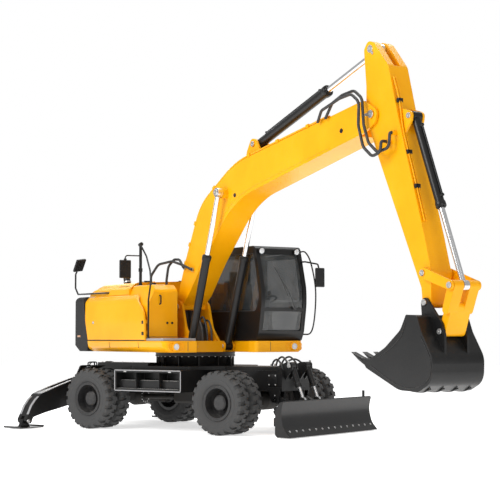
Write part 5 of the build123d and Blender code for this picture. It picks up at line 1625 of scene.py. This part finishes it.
# --------------------------------------------------------------------------- cab
@dataclass
class Cab:
    """Trim of the cab: seals, wiper, seat, controls, lamps and handles."""

    body: str = "superstructure"
    y0: float = 0.32
    y1: float = 1.25
    floor: float = 1.572
    middle: float = 0.785

    def build(self) -> None:
        """Dress the cab's solids and add its fittings."""
        dress(Finish.CAB, "cab_shell cab_panels cab_door")
        dress(Finish.GLASS, "cab_glass cab_door_glass")
        dress(Finish.PLASTIC, "cab_interior")
        self.seals()
        self.wiper()
        self.cushions()
        self.controls()
        self.outside()
        self.door()

    def seals(self) -> None:
        """Add rubber seals round the fixed windows."""
        mesh = slewed()
        seal = Gasket()
        seal.add(mesh, [(-0.06, 2.04), (1.48, 2.04), (1.585, 2.29), (1.42, 3.02), (-0.06, 3.02)],
                 (0, 2), self.y0 + 0.004)
        seal.add(mesh, [(-0.15, 2.04), (0.25, 2.04), (0.25, 3.02), (-0.15, 3.02)], (0, 2),
                 self.y1 - 0.004)
        seal.add(mesh, [(0.395, 2.38), (1.175, 2.38), (1.175, 3.02), (0.395, 3.02)], (1, 2), -0.236)
        mesh.piece("window_seals", self.body, Finish.PLASTIC)

    def wiper(self) -> None:
        """Add the windscreen's wiper with its motor cover."""
        mesh = slewed()
        mesh.lathe([(0.0, 0.03), (0.022, 0.028), (0.03, 0.016), (0.03, 0.0)], (1.678, 0.98, 2.08),
                   (1.0, 0.0, 0.05), 20)
        mesh.tube([(1.7, 0.98, 2.08), (1.71, 0.93, 2.2), (1.7, 0.82, 2.42), (1.672, 0.7, 2.6)], 0.007,
                  8)
        mesh.tube([(1.705, 0.83, 2.3), (1.682, 0.72, 2.56), (1.645, 0.6, 2.78)], 0.009, 8)
        mesh.piece("wiper", self.body, Finish.PLASTIC)

    def cushions(self) -> None:
        """Add the seat's stuffed cushion, headrest, arm pads and backrest."""
        # name, start and end along each axis from the seat's middle on the floor, lean
        for name, x, y, z, lean in (
            ("seat_cushion", (0.14, 0.66), (-0.24, 0.24), (0.385, 0.5), 0.0),
            ("seat_headrest", (0.06, 0.15), (-0.13, 0.13), (1.01, 1.19), 0.0),
            ("arm_pad_right", (0.26, 0.62), (-0.385, -0.305), (0.515, 0.56), 0.0),
            ("arm_pad_left", (0.26, 0.62), (0.305, 0.385), (0.515, 0.56), 0.0),
            ("seat_back", (0.235, 0.335), (-0.225, 0.225), (0.45, 0.99), -7.0),
        ):
            low, high = (Vector((x[k], self.middle + y[k], self.floor + z[k])) for k in (0, 1))
            cushion(name, low, high, self.body, lean)

    def controls(self) -> None:
        """Add lever grips, pedals, the monitor on its post and the floor mat."""
        m = self.middle
        f = self.floor
        mesh = slewed()
        for s in SIGNS:
            mesh.lathe([(0.0, 0.0), (0.02, 0.004), (0.03, 0.02), (0.022, 0.06), (0.026, 0.1),
                        (0.034, 0.14),
                        (0.028, 0.17), (0.0, 0.18)], (0.652, m + s * 0.345, f + 0.67),
                       (0.15, 0.0, 1.0), 20)
            y = m + s * 0.16
            mesh.prism([(0.86, f), (1.02, f + 0.1), (1.0, f + 0.112), (0.84, f + 0.014)], (0, 2),
                       (y - 0.045, y + 0.045), 0.004)
            mesh.tube([(0.93, y, f + 0.05), (0.9, y, f + 0.25), (0.86, y, f + 0.4)], 0.011, 10, 4)
        mesh.box((1.3, m - 0.34, f + 0.5), (1.34, m - 0.16, f + 0.66), 0.008)
        mesh.tube([(1.34, m - 0.33, f + 0.02), (1.36, m - 0.33, f + 0.3), (1.33, m - 0.28, f + 0.52)],
                  0.016, 12)
        for y in (m - 0.32 + 0.08 * k for k in range(8)):
            mesh.box((0.72, y, f), (1.3, y + 0.05, f + 0.006), 0.002)
        mesh.piece("cab_controls", self.body, Finish.PLASTIC)
        screen = slewed()
        screen.box((1.296, m - 0.325, f + 0.515), (1.301, m - 0.175, f + 0.645), 0.002)
        screen.piece("monitor_screen", self.body, Finish.GLASS)

    def outside(self) -> None:
        """Add roof lamps, gutters, roof ribs, the grab bar and the long rail."""
        black = slewed()
        lens = slewed()
        for y in (0.42, 1.14):
            at, way = (1.5, y, 3.065), (1.0, 0.0, -0.15)
            black.lathe([(0.0, -0.06), (0.04, -0.055), (0.058, -0.02), (0.062, 0.02), (0.06, 0.03),
                         (0.05, 0.03)], at, way, 28)
            lens.lathe([(0.0, 0.036), (0.03, 0.034), (0.051, 0.027), (0.051, 0.02)], at, way, 28)
        for y in (0.327, 1.243):
            black.tube([(-0.2, y, 3.11), (0.6, y, 3.122), (1.4, y, 3.11)], 0.009, 8, 1)
        black.tube([(0.29, 1.25, 1.9), (0.29, 1.285, 1.92), (0.29, 1.29, 2.2), (0.29, 1.285, 2.5),
                    (0.29, 1.25, 2.52)], 0.011, 10)
        for x in (0.2, 0.6, 1.0):
            black.box((x, 0.45, 3.148), (x + 0.03, 1.12, 3.16), 0.004)
        black.tube([(1.47, 1.248, 3.07), (1.55, 1.3, 3.06), (1.66, 1.33, 2.9), (1.78, 1.335, 2.55),
                    (1.81, 1.335, 2.25), (1.76, 1.33, 1.85), (1.66, 1.32, 1.66), (1.52, 1.248, 1.64)],
                   0.013, 10)
        black.piece("cab_trim", self.body, Finish.BLACK)
        lens.piece("cab_lamps", self.body, Finish.LENS)

    def door(self) -> None:
        """Add the door's seals, handle, hinges and lock."""
        mesh = slewed()
        for corners in ([(0.42, 2.2), (1.49, 2.2), (1.5, 2.3), (1.37, 2.96), (0.42, 2.96)],
                        [(0.42, 1.72), (1.38, 1.72), (1.48, 2.11), (0.42, 2.11)]):
            Gasket().add(mesh, corners, (0, 2), self.y1 - 0.003)
        mesh.piece("door_window_seals", "cab_door", Finish.PLASTIC)
        grip = slewed()
        grip.tube([(x, y, 2.155) for x, y in ((1.2, 1.25), (1.2, 1.282), (1.24, 1.29), (1.33, 1.29),
                                              (1.37, 1.282), (1.37, 1.25))], 0.01, 10)
        for z in (1.83, 2.81):
            grip.tube([(0.33, 1.25, z - 0.06), (0.33, 1.25, z + 0.06)], 0.01, 14, 1)
            grip.box((0.35, 1.25, z - 0.04), (0.4, 1.256, z + 0.04), 0.002)
        grip.piece("cab_door_handle", "cab_door", Finish.BLACK)
        lock = slewed()
        lock.lathe([(0.0, 0.006), (0.012, 0.006), (0.015, 0.002), (0.015, -0.002)],
                   (1.42, 1.251, 2.155), LEFT, 18)
        lock.piece("cab_door_lock", "cab_door", Finish.STEEL)


def cushion(name: str, low: Vector, high: Vector, body: str, lean: float) -> None:
    """Add a stuffed cushion: a crowned pad with a piped seam round its middle.

    Args:
        name: Name of the piece.
        low: Lowest corner.
        high: Highest corner.
        body: Body that it moves with.
        lean: Turn about its lower edge across the machine, in degrees.
    """
    mesh = slewed()
    size = high - low
    thin = min(range(3), key=lambda k: size[k])
    a, b = (k for k in range(3) if k != thin)
    bmesh.ops.create_cube(mesh.bm, size=1.0)
    bmesh.ops.subdivide_edges(mesh.bm, edges=list(mesh.bm.edges), cuts=15, use_grid_fill=True)
    for vert in mesh.bm.verts:
        u, v, w = vert.co[a] * 2, vert.co[b] * 2, vert.co[thin] * 2
        edge = (1 - abs(u) ** 6) * (1 - abs(v) ** 6)
        tuft = 1.0 - 0.14 * math.exp(-((abs(u) - 0.45) / 0.05) ** 2) * (abs(w) > 0.9)
        vert.co[a] = u * (1 - 0.06 * abs(v) ** 4) / 2
        vert.co[b] = v * (1 - 0.06 * abs(u) ** 4) / 2
        vert.co[thin] = w * (0.45 + 0.55 * max(edge, 0.0) ** 0.4) * tuft / 2
    turn = Matrix.Translation((low + high) / 2) @ Matrix.Rotation(math.radians(lean), 4, "Y")
    bmesh.ops.transform(mesh.bm, matrix=turn @ Matrix.Diagonal((*size, 1.0)), verts=mesh.bm.verts)
    mesh.piece(name, body, Finish.CLOTH, 60.0)
    line = []
    for point in ring(ORIGIN, FRONT, LEFT, 1.0, 48):
        c, s = (math.copysign(abs(part) ** 0.35, part) * 0.475 for part in point.xy)
        line.append(turn @ spot((a, b), (c * size[a], s * size[b]), 0.0))
    pipe = slewed()
    pipe.tube([*line, line[0]], 0.006, 8, 1, False)
    pipe.piece(f"{name}_piping", body, Finish.PLASTIC)


# ------------------------------------------------------------------ digging gear
@dataclass
class Gear:
    """Trim of the boom, dipper and bucket, drawn about their own plane."""

    y: float = GEAR_Y

    def build(self) -> None:
        """Dress the gear's solids and add its fittings."""
        dress(Finish.YELLOW, "boom boom_pipes dipper tipping_link tipping_lever")
        dress(Finish.HOSE, "boom_hoses")
        dress(Finish.BLACK, "boom_barrels dipper_barrel bucket_barrel bucket")
        dress(Finish.CHROME, "boom_rods dipper_rod bucket_rod")
        self.pins()
        self.cylinder_heads()
        self.boom_trim()
        self.dipper_lines()
        self.bucket_trim()

    def pins(self) -> None:
        """Add every pivot's pin ends."""
        # piece, body, radius, distance from the gear's plane, place (x, z), keeper step
        for name, body, radius, out, (x, z), keeper in (
            ("nose_pins", "boom", 0.05, 0.239, (5.62, 4.77), (-0.1, 0.0, 0.0)),
            ("dipper_foot_pins", "boom", 0.04, 0.134, (2.33, 4.741), None),
            ("boom_eye_pins", "boom_rods", 0.046, 0.434, (1.655, 3.992), None),
            ("bucket_foot_pins", "dipper", 0.036, 0.128, (6.335, 4.66), None),
            ("lever_pins", "dipper", 0.038, 0.264, (6.755, 2.455), None),
            ("bucket_pins", "dipper", 0.04, 0.229, (6.75, 2.061), None),
            ("dipper_tail_pins", "dipper", 0.05, 0.175, (5.54, 5.73), (0.06, 0.0, -0.07)),
            ("joint_pins", "tipping_lever", 0.038, 0.262, (7.3, 2.275), None),
            ("link_pins", "bucket", 0.036, 0.229, (7.06, 1.668), None),
        ):
            mesh = slewed()
            for s in SIGNS:
                PinEnd(radius).add(mesh, (x, self.y + s * out, z), (0.0, s, 0.0), keeper)
            mesh.piece(name, body, Finish.STEEL)

    def cylinder_heads(self) -> None:
        """Add the heads of the boom, dipper and bucket cylinders."""
        for name, body, (x, z), (to_x, to_z), length, barrel, rod, offsets in (
            ("boom_glands", "boom_barrels", (0.735, 1.44), (1.655, 3.992), 1.61, 0.068, 0.042,
             (-0.37, 0.37)),
            ("dipper_gland", "dipper_barrel", (2.33, 4.741), (5.54, 5.73), 2.03, 0.078, 0.048, (0.0,)),
            ("bucket_gland", "bucket_barrel", (6.335, 4.66), (7.3, 2.275), 1.41, 0.064, 0.04, (0.0,)),
        ):
            mesh = slewed()
            for y in (self.y + d for d in offsets):
                Gland(barrel, rod).add(mesh, (x, y, z), (to_x, y, to_z), length)
            mesh.piece(name, body, Finish.BLACK)

    def boom_trim(self) -> None:
        """Add the boom's weld beads, side plugs and the unions at its foot."""
        weld = slewed()
        low = [(0.45, 2.41), (0.92, 2.93), (1.3, 3.33), (1.7, 3.7), (2.3, 3.97), (3.4, 4.186),
               (4.6, 4.4)]
        for s in SIGNS:
            weld.tube([(x, self.y + s * (0.2362 - (x - 1.8) * 0.0045 * (x > 1.9)), z) for x, z in low],
                      0.005, 6, 6)
        weld.piece("boom_welds", "boom", Finish.YELLOW)
        boss = slewed()
        for x, y, z in ((1.95, 0.2355, 3.93), (4.9, 0.2215, 4.62)):
            boss.lathe([(0.0, 0.01), (0.03, 0.01), (0.036, 0.004), (0.036, -0.01)],
                       (x, self.y - y, z), RIGHT, 24)
        boss.piece("boom_plugs", "boom", Finish.BLACK)
        unions = slewed()
        for x, z in ((0.603, 2.76), (0.33, 2.8)):
            unions.lathe([(0.023, 0.0), (0.036, 0.0), (0.036, 0.02), (0.028, 0.024), (0.023, 0.03)],
                         (x, self.y - 0.2743, z), LEFT, 6, True)
        unions.piece("boom_unions", "superstructure", Finish.STEEL)

    def dipper_lines(self) -> None:
        """Add the pipes and clips on the dipper's front face."""
        pipes = slewed()
        line = [(6.036, 5.25), (6.156, 4.9), (6.226, 4.52), (6.346, 4.15), (6.536, 3.6), (6.676, 3.17)]
        for y in (-0.29, -0.255):
            pipes.tube([(x, y, z) for x, z in line], 0.011, 10, 6)
        pipes.piece("dipper_pipes", "dipper", Finish.YELLOW)
        clips = slewed()
        for x, z in ((6.135, 4.9), (6.33, 4.15), (6.5, 3.66)):
            clips.box((x - 0.01, -0.315, z - 0.03), (x + 0.034, -0.23, z + 0.03), 0.004)
            clips.bolt((x + 0.034, -0.272, z), FRONT, 0.008)
        clips.piece("dipper_clips", "dipper", Finish.BLACK)

    def bucket_trim(self) -> None:
        """Add the bucket's tooth caps with their pins, wear strips and seams."""
        caps = slewed()
        outline = [(5.66, 1.226), (5.56, 1.275), (5.395, 1.384), (5.45, 1.366), (5.57, 1.325),
                   (5.66, 1.301)]
        for y in (self.y + 0.195 * k for k in range(-2, 3)):
            caps.prism(outline, (0, 2), (y - 0.049, y + 0.049), 0.006)
            caps.lathe([(0.0, 0.0), (0.012, 0.0), (0.012, 0.104), (0.0, 0.104)],
                       (5.625, y - 0.052, 1.275),
                       LEFT, 14)
        caps.piece("tooth_caps", "bucket", Finish.BLADE)
        strips = slewed()
        back = [(6.0, 1.061), (6.3, 0.941), (6.6, 0.878), (6.86, 0.868), (7.02, 0.911)]
        for y in (-0.5, -0.27, -0.03, 0.2):
            strips.tube([(x, y, z) for x, z in back], 0.012, 8, 6)
        strips.piece("wear_strips", "bucket", Finish.BLADE)
        seam = slewed()
        for radius, line in (
            (0.007, [(6.03, 1.31), (6.3, 1.44), (6.52, 1.59), (6.63, 1.78)]),
            (0.006, [(5.86, 1.2), (6.45, 0.95), (6.85, 0.93), (7.1, 1.05), (7.14, 1.3), (6.95, 1.6)]),
        ):
            for s in SIGNS:
                seam.tube([(x, self.y + s * 0.451, z) for x, z in line], radius, 8, 6)
        seam.piece("bucket_seams", "bucket", Finish.BLADE)


def main() -> None:
    """Build the studio, then every sub-assembly in order."""
    logging.basicConfig(level=logging.INFO, format="%(name)s: %(message)s")
    Studio().build()
    wheels = [TwinWheel(end, side, x) for end, x in AXLES.items() for side in Side]
    for part in (*wheels, Carrier(), Superstructure(), Cab(), Gear()):
        part.build()


if __name__ == "__main__":
    main()
